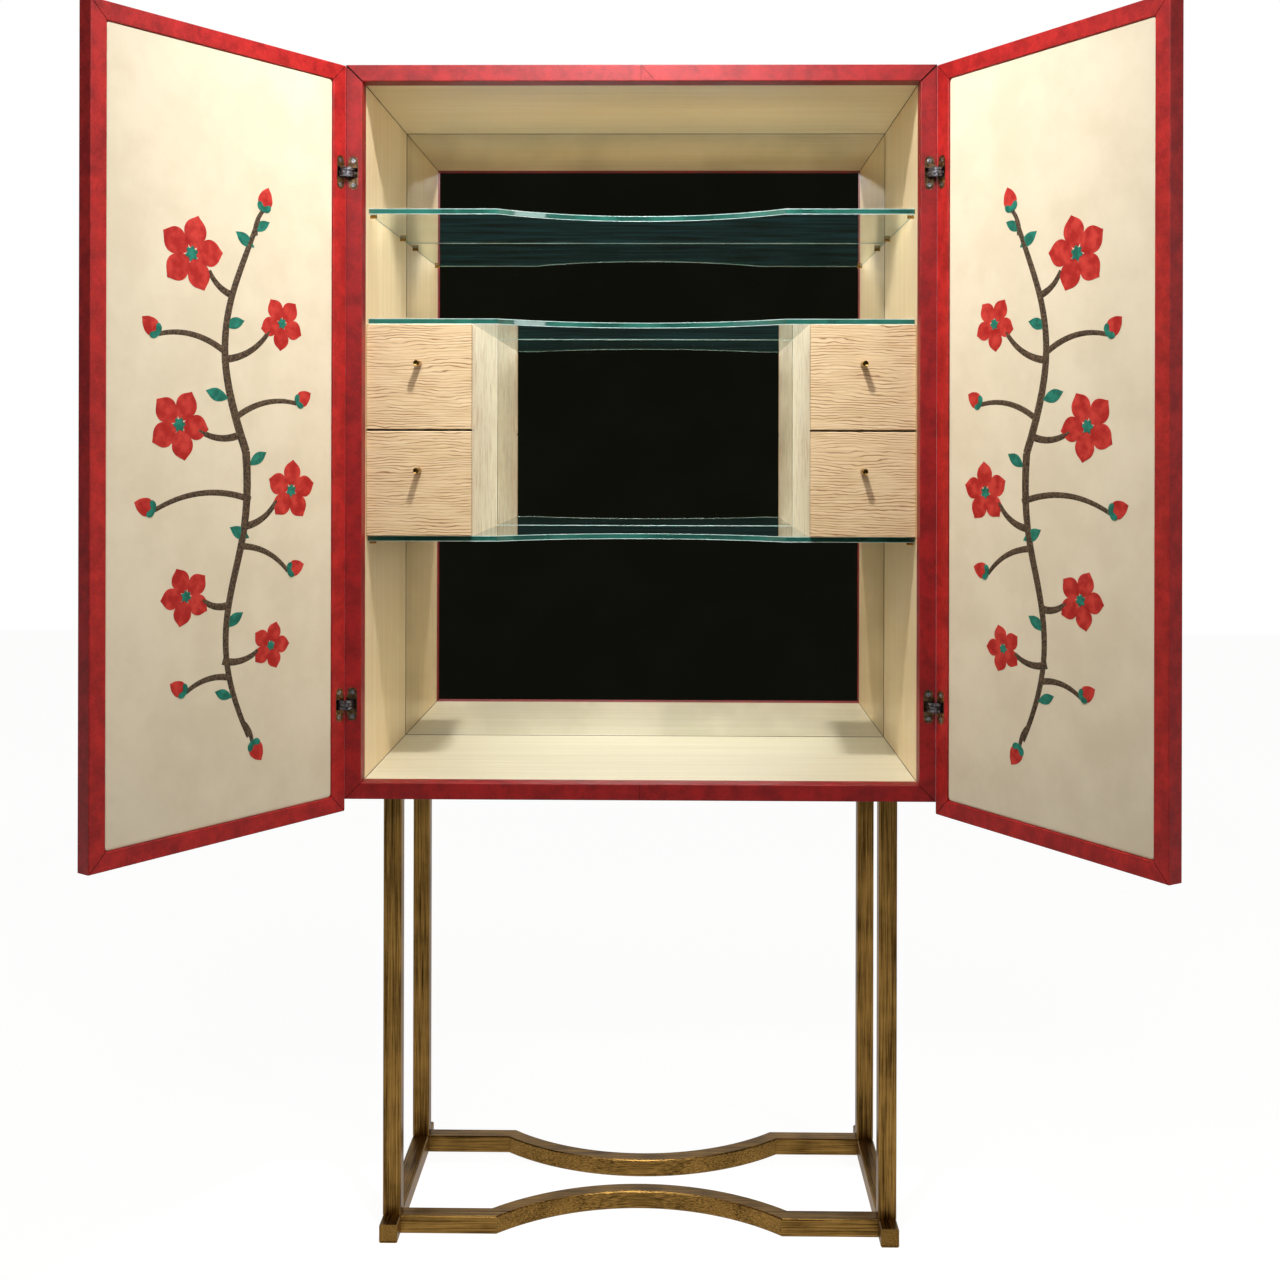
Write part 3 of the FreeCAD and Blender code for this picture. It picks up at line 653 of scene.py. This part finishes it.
def make_shelf_edge(level):
    """The polished edge of a glass shelf, as a skin on the pane's own edge."""
    skin = 0.15 * MM
    shape = bmesh.new()
    shape.from_mesh(NODES[f"shelf_{level}"].data)
    flat = [face for face in shape.faces if abs(face.normal.z) > 0.9]
    bmesh.ops.delete(shape, geom=flat, context="FACES")
    bmesh.ops.solidify(shape, geom=shape.faces[:], thickness=-skin)
    edge = piece(f"shelf_edge_{level}", shape, glass_edge, "root")
    edge.visible_shadow = False


def make_shelf_arris(level):
    """The ground arris along a shelf's edge, above and below, which catches the light."""
    inset, proud, shortest = 0.35 * MM, 0.4 * MM, 0.5 * MM
    size, ease = 0.9 * MM, 0.42
    low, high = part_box(f"shelf_{level}")
    shape = bmesh.new()
    for height in (low.z + inset, high.z - inset):
        rim = bmesh.new()
        rim.from_mesh(NODES[f"shelf_{level}"].data)
        bmesh.ops.remove_doubles(rim, verts=rim.verts, dist=0.001 * MM)
        found = bmesh.ops.bisect_plane(
            rim,
            geom=rim.verts[:] + rim.edges[:] + rim.faces[:],
            plane_co=(0, 0, height),
            plane_no=(0, 0, 1),
        )["geom_cut"]
        for run in (item for item in found if isinstance(item, bmesh.types.BMEdge)):
            outwards = max((face.normal for face in run.link_faces), key=lambda n: -abs(n.z))
            start, end = (vertex.co + proud * outwards for vertex in run.verts)
            if (end - start).length > shortest:
                rod(shape, start, end, size, ease)
        rim.free()
    arris = piece(f"shelf_arris_{level}", shape, glass_arris, "root")
    arris.visible_shadow = False


def make_drawer_gap(side):
    """The gap between two drawer fronts: a dark rod that fills most of it, near their backs, as
    painted shade in the gap.
    """
    filled, recess = 0.7, 2 * MM
    lower, upper = (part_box(f"drawer_{side}_{level}_front") for level in LEVELS)
    height = (lower[1].z + upper[0].z) / 2
    size = filled * (upper[0].z - lower[1].z)
    y = lower[1].y - recess
    shape = bmesh.new()
    rod(shape, (lower[0].x, y, height), (lower[1].x, y, height), size)
    piece(f"drawer_gap_{side}", shape, wood_seam, "root")


def make_case_joint(side):
    """The dark hairline where the inner side of a drawer case meets the mirror: painted shade in
    the joint.
    """
    low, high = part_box(f"drawer_case_{side}_sides")
    x = high.x if side == "left" else low.x
    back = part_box("mirror_back")[0].y
    short = 1 * MM
    shape = bmesh.new()
    rod(shape, (x, back, low.z + short), (x, back, high.z - short), HAIRLINE)
    piece(f"case_joint_{side}", shape, wood_seam, "root")


make_lining_joints()
make_front_mitres()
for side in SIDES:
    make_drawer_gap(side)
    make_case_joint(side)
for level in SHELVES:
    make_shelf_edge(level)
    make_shelf_arris(level)


# ---- Hinges ----

# The middle of each hinge above the floor, and how far its screws are from there.
HINGE_LEVELS = (830 * MM, 1640 * MM)
HINGE_REACH = 50 * MM
SCREW_SPREAD = 18.5 * MM
SCREW_REACH = 6 * MM
# Where the inner face of a door lies in the door's own frame.
DOOR_FACE_Y = -1 * MM


def hinge_screw(shape, centre, face_y, outwards):
    """A countersunk screw: a bright cone with a dark recess, flush with its leaf."""
    radius, depth = 3.3 * MM, 1.3 * MM
    profile = [
        (0, -depth),
        (0.32 * radius, -depth),
        (0.42 * radius, -0.2 * depth),
        (0.8 * radius, 0),
        (radius, -0.15 * depth),
        (radius, -1.2 * depth),
    ]
    points = [
        shape.verts.new((centre.x + out, face_y + outwards * rise, centre.z))
        for out, rise in profile
    ]
    line = [shape.edges.new(pair) for pair in zip(points, points[1:])]
    bmesh.ops.spin(
        shape,
        geom=points + line,
        cent=(centre.x, face_y, centre.z),
        axis=(0, 1, 0),
        angle=math.tau,
        steps=20,
        use_merge=True,
    )


def screw_places(name, back):
    """The centre of each hinge screw of a CAD node, in a frame that back leads to."""
    places = []
    points = [back @ vertex.co for vertex in NODES[name].data.vertices]
    for hand in (-1, 1):
        for level in HINGE_LEVELS:
            for spread in (-SCREW_SPREAD, SCREW_SPREAD):
                height = level + spread
                near = [
                    point for point in points
                    if abs(point.z - height) < SCREW_REACH and point.x * hand > 0
                ]
                if near:
                    low = Vector([min(point[i] for point in near) for i in range(3)])
                    high = Vector([max(point[i] for point in near) for i in range(3)])
                    places.append((low + high) / 2)
    return places


def make_screws(name, made, body, place, face_y, outwards):
    """Countersunk screws where a CAD node has its plain ones."""
    shape = bmesh.new()
    for centre in screw_places(name, place.inverted()):
        hinge_screw(shape, centre, face_y, outwards)
    bmesh.ops.remove_doubles(shape, verts=shape.verts, dist=SAME_PLACE)
    bmesh.ops.transform(shape, matrix=place, verts=shape.verts)
    piece(made, shape, hinge_light, body, (name,))


def make_links(side):
    """A link as the stack of leaves it is pinned from, every other one a little smaller."""
    name = f"hinge_links_{side}"
    shape = bmesh.new()
    leaves, gap, recess = 3, 1.1 * MM, 0.9 * MM
    for level in HINGE_LEVELS:
        heights = [vertex.co.z for vertex in NODES[name].data.vertices]
        heights = [height for height in heights if abs(height - level) < HINGE_REACH]
        low, high = min(heights), max(heights)
        pitch = (high - low) / leaves
        for count in range(leaves):
            leaf = bmesh.new()
            leaf.from_mesh(NODES[name].data)
            foot = low + count * pitch + gap / 2
            head = low + (count + 1) * pitch - gap / 2
            for height, outer in ((foot, -1), (head, 1)):
                result = bmesh.ops.bisect_plane(
                    leaf,
                    geom=leaf.verts[:] + leaf.edges[:] + leaf.faces[:],
                    plane_co=(0, 0, height),
                    plane_no=(0, 0, outer),
                    clear_outer=True,
                )
                rim = [e for e in result["geom_cut"] if isinstance(e, bmesh.types.BMEdge)]
                bmesh.ops.contextual_create(leaf, geom=rim)
            if count % 2:
                leaf.normal_update()
                for vertex in leaf.verts:
                    outwards = Vector((vertex.normal.x, vertex.normal.y, 0))
                    vertex.co -= recess * outwards.normalized()
            mesh = bpy.data.meshes.new("leaf")
            leaf.to_mesh(mesh)
            leaf.free()
            shape.from_mesh(mesh)
            bpy.data.meshes.remove(mesh)
    piece(f"links_{side}", shape, hinge_link, f"hinge_link_{side}", (name,))


front_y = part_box("front_edge_left")[0].y
make_screws(
    "hinge_screws_carcass", "screws_carcass", "root", Matrix.Identity(4), front_y, -1
)


# ---- Doors ----


def hung_door(side, hand):
    """Where a door hangs: its own frame has x from the hinge, z up and its inside towards +Y."""
    joint = JOINTS[f"door_{side}_hinge"]
    closing = math.radians(joint["range_deg"][0] * joint["axis"][2])
    axis = Vector((joint["pos_m"][0], joint["pos_m"][1], 0))
    place = Matrix.Translation(axis) @ Matrix.Rotation(-closing, 4, "Z")
    place = place @ Matrix.Diagonal((hand, 1, 1, 1))
    return SimpleNamespace(side=side, body=f"door_{side}", place=place)


def shut_box(door, name):
    """The lowest and highest corners of a door's CAD node in the door's own frame."""
    back = door.place.inverted()
    corners = [back @ vertex.co for vertex in NODES[name].data.vertices]
    low = Vector([min(corner[i] for corner in corners) for i in range(3)])
    high = Vector([max(corner[i] for corner in corners) for i in range(3)])
    return low, high


def make_pad(door):
    """The upholstered panel: leather over a thin layer of foam, crowned a little."""
    name = f"door_{door.side}_pad"
    low, high = shut_box(door, name)
    gap, corner, flush = 0.4 * MM, 6 * MM, 0.001 * MM
    swell = [
        (step * MM, rise * MM)
        for step, rise in ((0.3, 0.45), (0.6, 0.4), (1.0, 0.3), (1.4, 0.2), (1.8, 0.1))
    ]
    width, height = high.x - low.x - 2 * gap, high.z - low.z - 2 * gap
    thickness = high.y - low.y
    shape = bmesh.new()
    bmesh.ops.create_cube(shape, size=1)
    bmesh.ops.scale(shape, vec=(width, thickness, height), verts=shape.verts)
    bmesh.ops.translate(shape, vec=(low + high) / 2, verts=shape.verts)
    upright = [
        edge for edge in shape.edges
        if abs(edge.verts[0].co.y - edge.verts[1].co.y) > 0.5 * thickness
    ]
    bmesh.ops.bevel(
        shape,
        geom=upright,
        offset=corner,
        offset_type="OFFSET",
        segments=6,
        profile=0.5,
        affect="EDGES",
        material=-1,
    )
    face_y = max(vertex.co.y for vertex in shape.verts)
    front = [
        face for face in shape.faces
        if all(abs(vertex.co.y - face_y) < flush for vertex in face.verts)
    ]
    # The front is lowered to the foot of the crown, and rises to its old place in steps.
    drop = sum(rise for _, rise in swell)
    crown = {vertex for face in front for vertex in face.verts}
    bmesh.ops.translate(shape, vec=(0, -drop, 0), verts=list(crown))
    for step, rise in swell:
        bmesh.ops.inset_region(shape, faces=front, thickness=step, use_even_offset=True)
        crown = {vertex for face in front for vertex in face.verts}
        bmesh.ops.translate(shape, vec=(0, rise, 0), verts=list(crown))
    bmesh.ops.transform(shape, matrix=door.place, verts=shape.verts)
    pad = piece(f"pad_{door.side}", shape, ivory, door.body, (name,))


def make_door_seams(door):
    """The mitres of a door's border, drawn dark as painted shade in the joints."""
    name = f"door_{door.side}_border"
    low, high = shut_box(door, name)
    width = shut_box(door, f"door_{door.side}_pad")[0].x - low.x
    inset, size = 0.8 * MM, 0.5 * MM
    y = high.y - 0.1 * MM
    shape = bmesh.new()
    for x, inward in ((low.x, 1), (high.x, -1)):
        for z, up in ((low.z, 1), (high.z, -1)):
            start = (x + inward * inset, y, z + up * inset)
            rod(shape, start, (x + inward * width, y, z + up * width), size)
    bmesh.ops.transform(shape, matrix=door.place, verts=shape.verts)
    piece(f"mitres_{door.side}", shape, seam, door.body)


def make_edge_roll(door):
    """The rolled leather along a door's hinge edge, which closes on the carcass."""
    low, high = shut_box(door, f"door_{door.side}_border")
    radius, ease, outside = 0.78 * MM, 1.2 * MM, 1.9 * MM
    centre = Vector((0, -outside, 0))
    profile = [
        (0, low.z + ease),
        (0.6 * radius, low.z + ease),
        (radius, low.z + 2 * ease),
        (radius, high.z - 2 * ease),
        (0.6 * radius, high.z - ease),
        (0, high.z - ease),
    ]
    shape = bmesh.new()
    points = [shape.verts.new((centre.x + out, centre.y, z)) for out, z in profile]
    line = [shape.edges.new(pair) for pair in zip(points, points[1:])]
    bmesh.ops.spin(
        shape,
        geom=points + line,
        cent=centre,
        axis=(0, 0, 1),
        angle=math.tau,
        steps=16,
        use_merge=True,
    )
    bmesh.ops.remove_doubles(shape, verts=shape.verts, dist=SAME_PLACE)
    bmesh.ops.transform(shape, matrix=door.place, verts=shape.verts)
    piece(f"edge_roll_{door.side}", shape, door_red_painted_lighter, door.body)


# ---- Leather flowers on the doors ----
# Places are (from the hinge edge, above the floor) in mm.

STEM = (
    (184, 808), (214, 866), (234, 944), (212, 1040), (182, 1130), (190, 1215),
    (226, 1300), (234, 1385), (206, 1465), (182, 1515), (168, 1548),
)
# The point from which the stem thins towards both its ends.
STEM_MIDDLE = 5
# centre, diameter, turn in degrees, where its twig leaves the stem
ROSETTES = (
    ((286, 1488), 108, 12, (216, 1440)),
    ((124, 1402), 80, 40, (230, 1345)),
    ((306, 1252), 100, 25, (196, 1228)),
    ((106, 1158), 90, 5, (186, 1118)),
    ((294, 1016), 84, 50, (224, 1000)),
    ((144, 934), 70, 18, (232, 915)),
)
# tip, length, turn in degrees, where its twig leaves the stem
BUDS = (
    ((160, 1562), 36, 16, (172, 1530)),
    ((340, 1374), 34, -50, (236, 1352)),
    ((96, 1286), 32, 60, (206, 1258)),
    ((346, 1136), 34, -70, (184, 1150)),
    ((112, 1040), 32, 75, (196, 1076)),
    ((294, 884), 30, -60, (228, 900)),
    ((178, 800), 34, 150, (188, 818)),
)
# base, length, turn in degrees
LEAVES = (
    ((176, 1508), 38, -60), ((228, 1392), 36, 75), ((222, 1290), 40, -75),
    ((184, 1196), 36, 60), ((184, 1092), 38, -65), ((226, 968), 36, 60),
    ((214, 868), 32, -70), ((176, 1532), 32, 62),
)
# Outlines (across, along) for a length of 1, and how thick the leather and the stems are.
PETAL = ((0, 0.1), (0.26, 0.34), (0.33, 0.68), (0, 1.0), (-0.33, 0.68), (-0.26, 0.34))
LEAF = ((0, 0), (0.2, 0.34), (0.22, 0.62), (0, 1.0), (-0.2, 0.62), (-0.18, 0.34))
BUD = ((0, 0), (0.34, 0.3), (0.26, 0.72), (0, 1.0), (-0.26, 0.72), (-0.34, 0.3))
CUP = ((0, -0.04), (0.3, 0.08), (0.3, 0.3), (0, 0.18), (-0.3, 0.3), (-0.3, 0.08))
HEART = tuple(
    (math.sin(count * math.tau / 12) * reach, math.cos(count * math.tau / 12) * reach)
    for count, reach in enumerate([0.2, 0.14] * 6)
)
LEATHER_THICKNESS = 1.0 * MM
STEM_RADII = (7.2, 4.0)
ROSETTE_TWIG_RADII = (5.6, 3.6)
BUD_TWIG_RADII = (4.8, 3.2)
STEM_FLATNESS = 0.17


def add_curve(shape, curve, place):
    """Add a curve's mesh to a bmesh at a place, and remove the curve."""
    holder = bpy.data.objects.new("leather", curve)
    mesh = bpy.data.meshes.new_from_object(holder)
    mesh.transform(place)
    shape.from_mesh(mesh)
    bpy.data.objects.remove(holder)
    bpy.data.curves.remove(curve)
    bpy.data.meshes.remove(mesh)


def cut_out(shape, outline, centre, size, turn, place, sharp=(0, 3)):
    """A smooth closed outline cut from leather; the points in sharp keep their corner."""
    curve = bpy.data.curves.new("outline", "CURVE")
    curve.dimensions = "2D"
    curve.fill_mode = "BOTH"
    curve.resolution_u = 5
    curve.bevel_depth = 0.3 * MM
    curve.bevel_resolution = 1
    curve.extrude = LEATHER_THICKNESS / 2 - curve.bevel_depth
    spline = curve.splines.new("BEZIER")
    spline.bezier_points.add(len(outline) - 1)
    turned = Matrix.Rotation(math.radians(turn), 2)
    for count, (knot, point) in enumerate(zip(spline.bezier_points, outline)):
        spot = Vector(centre) + turned @ Vector(point) * size
        knot.co = (spot.x * MM, spot.y * MM, 0)
        kind = "VECTOR" if count in sharp else "AUTO"
        knot.handle_left_type = knot.handle_right_type = kind
    spline.use_cyclic_u = True
    add_curve(shape, curve, place)


def branch(shape, points, radii, place):
    """A stem that thins from one radius to another, with a flattened round section."""
    thick, thin = radii
    curve = bpy.data.curves.new("branch", "CURVE")
    curve.dimensions = "3D"
    curve.resolution_u = 6
    curve.bevel_depth = 1 * MM
    curve.bevel_resolution = 2
    curve.use_fill_caps = True
    spline = curve.splines.new("NURBS")
    spline.points.add(len(points) - 1)
    for count, (knot, (along, up)) in enumerate(zip(spline.points, points)):
        knot.co = (along * MM, up * MM, 0, 1)
        share = count / (len(points) - 1)
        knot.radius = thick + (thin - thick) * share
    spline.order_u = 4
    spline.use_endpoint_u = True
    add_curve(shape, curve, place @ Matrix.Diagonal((1, 1, STEM_FLATNESS, 1)))


def twig(stem, start, end, bow, short=0):
    """A twig that leaves the stem near start, bows to one side and ends short of its end."""
    rooted = 2
    end = Vector(end) + (Vector(start) - Vector(end)).normalized() * short
    start = min(stem, key=lambda spot: (spot - Vector(start)).length)
    start = start + rooted * (start - end).normalized()
    run = end - start
    side = Vector((-run.y, run.x)) * bow
    return [start, start + run * 0.35 + side, start + run * 0.7 + side * 0.9, end]


def make_flowers(door):
    """A branch of applied leather: a stem with twigs, rosettes, buds and leaves."""
    face_y = shut_box(door, f"door_{door.side}_pad")[1].y
    upright = Matrix.Rotation(math.radians(90), 4, "X")
    face = door.place @ Matrix.Translation((0, face_y, 0)) @ upright
    raised_y = face_y + LEATHER_THICKNESS / 2
    raised = door.place @ Matrix.Translation((0, raised_y, 0)) @ upright
    petals, stems, leaves = bmesh.new(), bmesh.new(), bmesh.new()
    branch(stems, STEM[STEM_MIDDLE::-1], STEM_RADII, face)
    branch(stems, STEM[STEM_MIDDLE:], STEM_RADII, face)
    flat = face.inverted()
    stem = [(flat @ vertex.co).xy / MM for vertex in stems.verts]
    for count, (centre, size, turn, start) in enumerate(ROSETTES):
        bow = 0.16 if count % 2 else -0.16
        branch(stems, twig(stem, start, centre, bow, 0.34 * size), ROSETTE_TWIG_RADII, face)
        for petal in range(5):
            cut_out(petals, PETAL, centre, size / 2, turn + 72 * petal, face)
        cut_out(leaves, HEART, centre, size / 2, turn, raised, sharp=())
    for count, (base, size, turn, start) in enumerate(BUDS):
        bow = 0.14 if count % 2 else -0.14
        branch(stems, twig(stem, start, base, bow), BUD_TWIG_RADII, face)
        cut_out(petals, BUD, base, size, turn, face)
        cut_out(leaves, CUP, base, size, turn, raised)
    for base, size, turn in LEAVES:
        cut_out(leaves, LEAF, base, size, turn, face)
    piece(f"petals_{door.side}", petals, petal_leather, door.body)
    piece(f"stems_{door.side}", stems, stem_leather, door.body)
    piece(f"leaves_{door.side}", leaves, leaf_leather, door.body)


doors = (hung_door("left", 1), hung_door("right", -1))
for door in doors:
    make_pad(door)
    make_door_seams(door)
    make_edge_roll(door)
    make_flowers(door)
    make_links(door.side)
    make_screws(
        f"hinge_screws_door_{door.side}",
        f"screws_door_{door.side}",
        door.body,
        door.place,
        DOOR_FACE_Y,
        1,
    )


# ---- Camera, light and surroundings ----


def add_camera():
    """A level camera in front of the cabinet, shifted to frame it from door tops to feet."""
    camera = bpy.data.cameras.new("camera")
    camera.sensor_width = 36
    camera.lens = 44.05
    camera.shift_x = -0.00888
    camera.shift_y = -0.1496
    holder = bpy.data.objects.new("camera", camera)
    holder.location = (0.0492, -2.4003, 1.2208)
    holder.rotation_euler = [math.radians(angle) for angle in (90, -0.131, 0.772)]
    bpy.context.scene.collection.objects.link(holder)
    bpy.context.scene.camera = holder


def add_lamp(name, place, target, size, power, colour="ffffff"):
    """A softbox at a place, turned to a target, with its size in metres and power in watts."""
    lamp = bpy.data.lights.new(name, "AREA")
    lamp.shape = "RECTANGLE"
    lamp.size, lamp.size_y = size
    lamp.energy = power
    lamp.color = linear(colour)[:3]
    holder = bpy.data.objects.new(name, lamp)
    holder.location = place
    aim = Vector(target) - Vector(place)
    holder.rotation_euler = aim.to_track_quat("-Z", "Y").to_euler()
    holder.visible_camera = False
    bpy.context.scene.collection.objects.link(holder)
    return holder


def light_world():
    """White where the camera looks, pale in gloss and dim as light."""
    world = bpy.data.worlds.new("studio")
    bpy.context.scene.world = world
    world.use_nodes = True
    tree = world.node_tree
    tree.nodes.clear()
    path = node(tree, "ShaderNodeLightPath")
    seen = node(
        tree,
        "ShaderNodeMath",
        {0: path.outputs["Is Camera Ray"], 1: path.outputs["Is Transmission Ray"]},
        operation="MAXIMUM",
    ).outputs[0]
    towards = node(tree, "ShaderNodeTexCoord").outputs["Generated"]
    behind = node(tree, "ShaderNodeSeparateXYZ", {0: towards}).outputs[1]
    gloss = between(tree, behind, 0.3, 0.75, 0.1, 0.6)
    ambient = node(
        tree,
        "ShaderNodeMapRange",
        {"Value": path.outputs["Is Glossy Ray"], "To Min": 0.19, "To Max": gloss},
    ).outputs[0]
    strength = node(
        tree, "ShaderNodeMapRange", {"Value": seen, "To Min": ambient, "To Max": 1.0}
    ).outputs[0]
    light = node(tree, "ShaderNodeBackground", {"Color": (1, 1, 1, 1), "Strength": strength})
    node(tree, "ShaderNodeOutputWorld", {"Surface": light.outputs[0]})


def stage_plane(name, size, place, turn, material):
    """A flat sheet of the surroundings, which isn't part of the cabinet."""
    shape = bmesh.new()
    bmesh.ops.create_grid(shape, x_segments=1, y_segments=1, size=0.5)
    bmesh.ops.scale(shape, vec=(size[0], size[1], 1), verts=shape.verts)
    matrix = Matrix.Translation(place) @ Matrix.Rotation(math.radians(turn), 4, "X")
    bmesh.ops.transform(shape, matrix=matrix, verts=shape.verts)
    mesh = bpy.data.meshes.new(name)
    shape.to_mesh(mesh)
    shape.free()
    mesh.materials.append(material)
    made = bpy.data.objects.new(name, mesh)
    bpy.context.scene.collection.objects.link(made)
    return made


def floor_paint():
    """A white floor that keeps a faint shadow."""
    material, tree = new_material("studio_floor_white")
    path = node(tree, "ShaderNodeLightPath")
    direct = node(
        tree,
        "ShaderNodeMath",
        {0: path.outputs["Is Camera Ray"], 1: path.outputs["Is Glossy Ray"]},
        operation="MAXIMUM",
    ).outputs[0]
    level = node(
        tree,
        "ShaderNodeMapRange",
        {"Value": path.outputs["Is Glossy Ray"], "To Min": 0.93, "To Max": 0.6},
    ).outputs[0]
    glow = node(tree, "ShaderNodeEmission", {"Color": (1, 1, 1, 1), "Strength": level})
    matt = node(tree, "ShaderNodeBsdfDiffuse", {"Color": linear("c4c2be")})
    dim = node(tree, "ShaderNodeBsdfDiffuse", {"Color": linear("83827f")})
    faint = node(tree, "ShaderNodeAddShader", {0: glow.outputs[0], 1: dim.outputs[0]})
    seen = node(
        tree,
        "ShaderNodeMath",
        {0: direct, 1: path.outputs["Is Transmission Ray"]},
        operation="MAXIMUM",
    ).outputs[0]
    both = node(
        tree, "ShaderNodeMixShader", {0: seen, 1: matt.outputs[0], 2: faint.outputs[0]}
    )
    node(tree, "ShaderNodeOutputMaterial", {"Surface": both.outputs[0]})
    return material


def flag_cloth():
    """The black of a studio flag, the same from any side."""
    material, tree = new_material("studio_flag_black")
    black = node(tree, "ShaderNodeEmission", {"Color": linear("12130e"), "Strength": 1})
    node(tree, "ShaderNodeOutputMaterial", {"Surface": black.outputs[0]})
    return material


COOL_WHITE = "f8faff"

add_camera()
light_world()
stage_plane("floor", (16, 16), (0, 0, 0), 0, floor_paint())
# The flag shows in reflections and through glass only, and keeps the mirror dark.
flag = stage_plane("flag", (3.2, 2.6), (0, -2.6, 1.3), 90, flag_cloth())
flag.visible_camera = False
flag.visible_diffuse = False
flag.visible_shadow = False
key = add_lamp("key", (0, -0.66, 2.32), (0, 0, 1.3), (0.1, 0.1), 11, COOL_WHITE)
key.data.spread = math.radians(125)
add_lamp("high", (0, -0.25, 2.9), (0, 0.1, 1.2), (0.5, 0.4), 5, COOL_WHITE)
add_lamp("strip", (-0.3, -2.2, 2.36), (0, 0, 1.5), (1.5, 0.15), 14, COOL_WHITE)
add_lamp("front", (0, -3.4, 3.1), (0, 0, 1.2), (1.5, 0.8), 3)
add_lamp("right", (2.2, -1.6, 1.7), (0, 0, 1.2), (0.8, 0.8), 11)
add_lamp("left", (-2.2, -1.6, 1.7), (0, 0, 1.2), (0.8, 0.8), 1.2)
add_lamp("rim", (-0.2, -0.42, 1.98), (-0.1, 0, 1.79), (0.8, 0.05), 0.5, "fff8f0")
warm = add_lamp("warm", (0, 0.2, 1.65), (0, 0.24, 1.8), (0.6, 0.16), 0.18, "ffdc9c")
warm.visible_glossy = False
warm.visible_transmission = False

bpy.context.scene.view_settings.view_transform = "Standard"
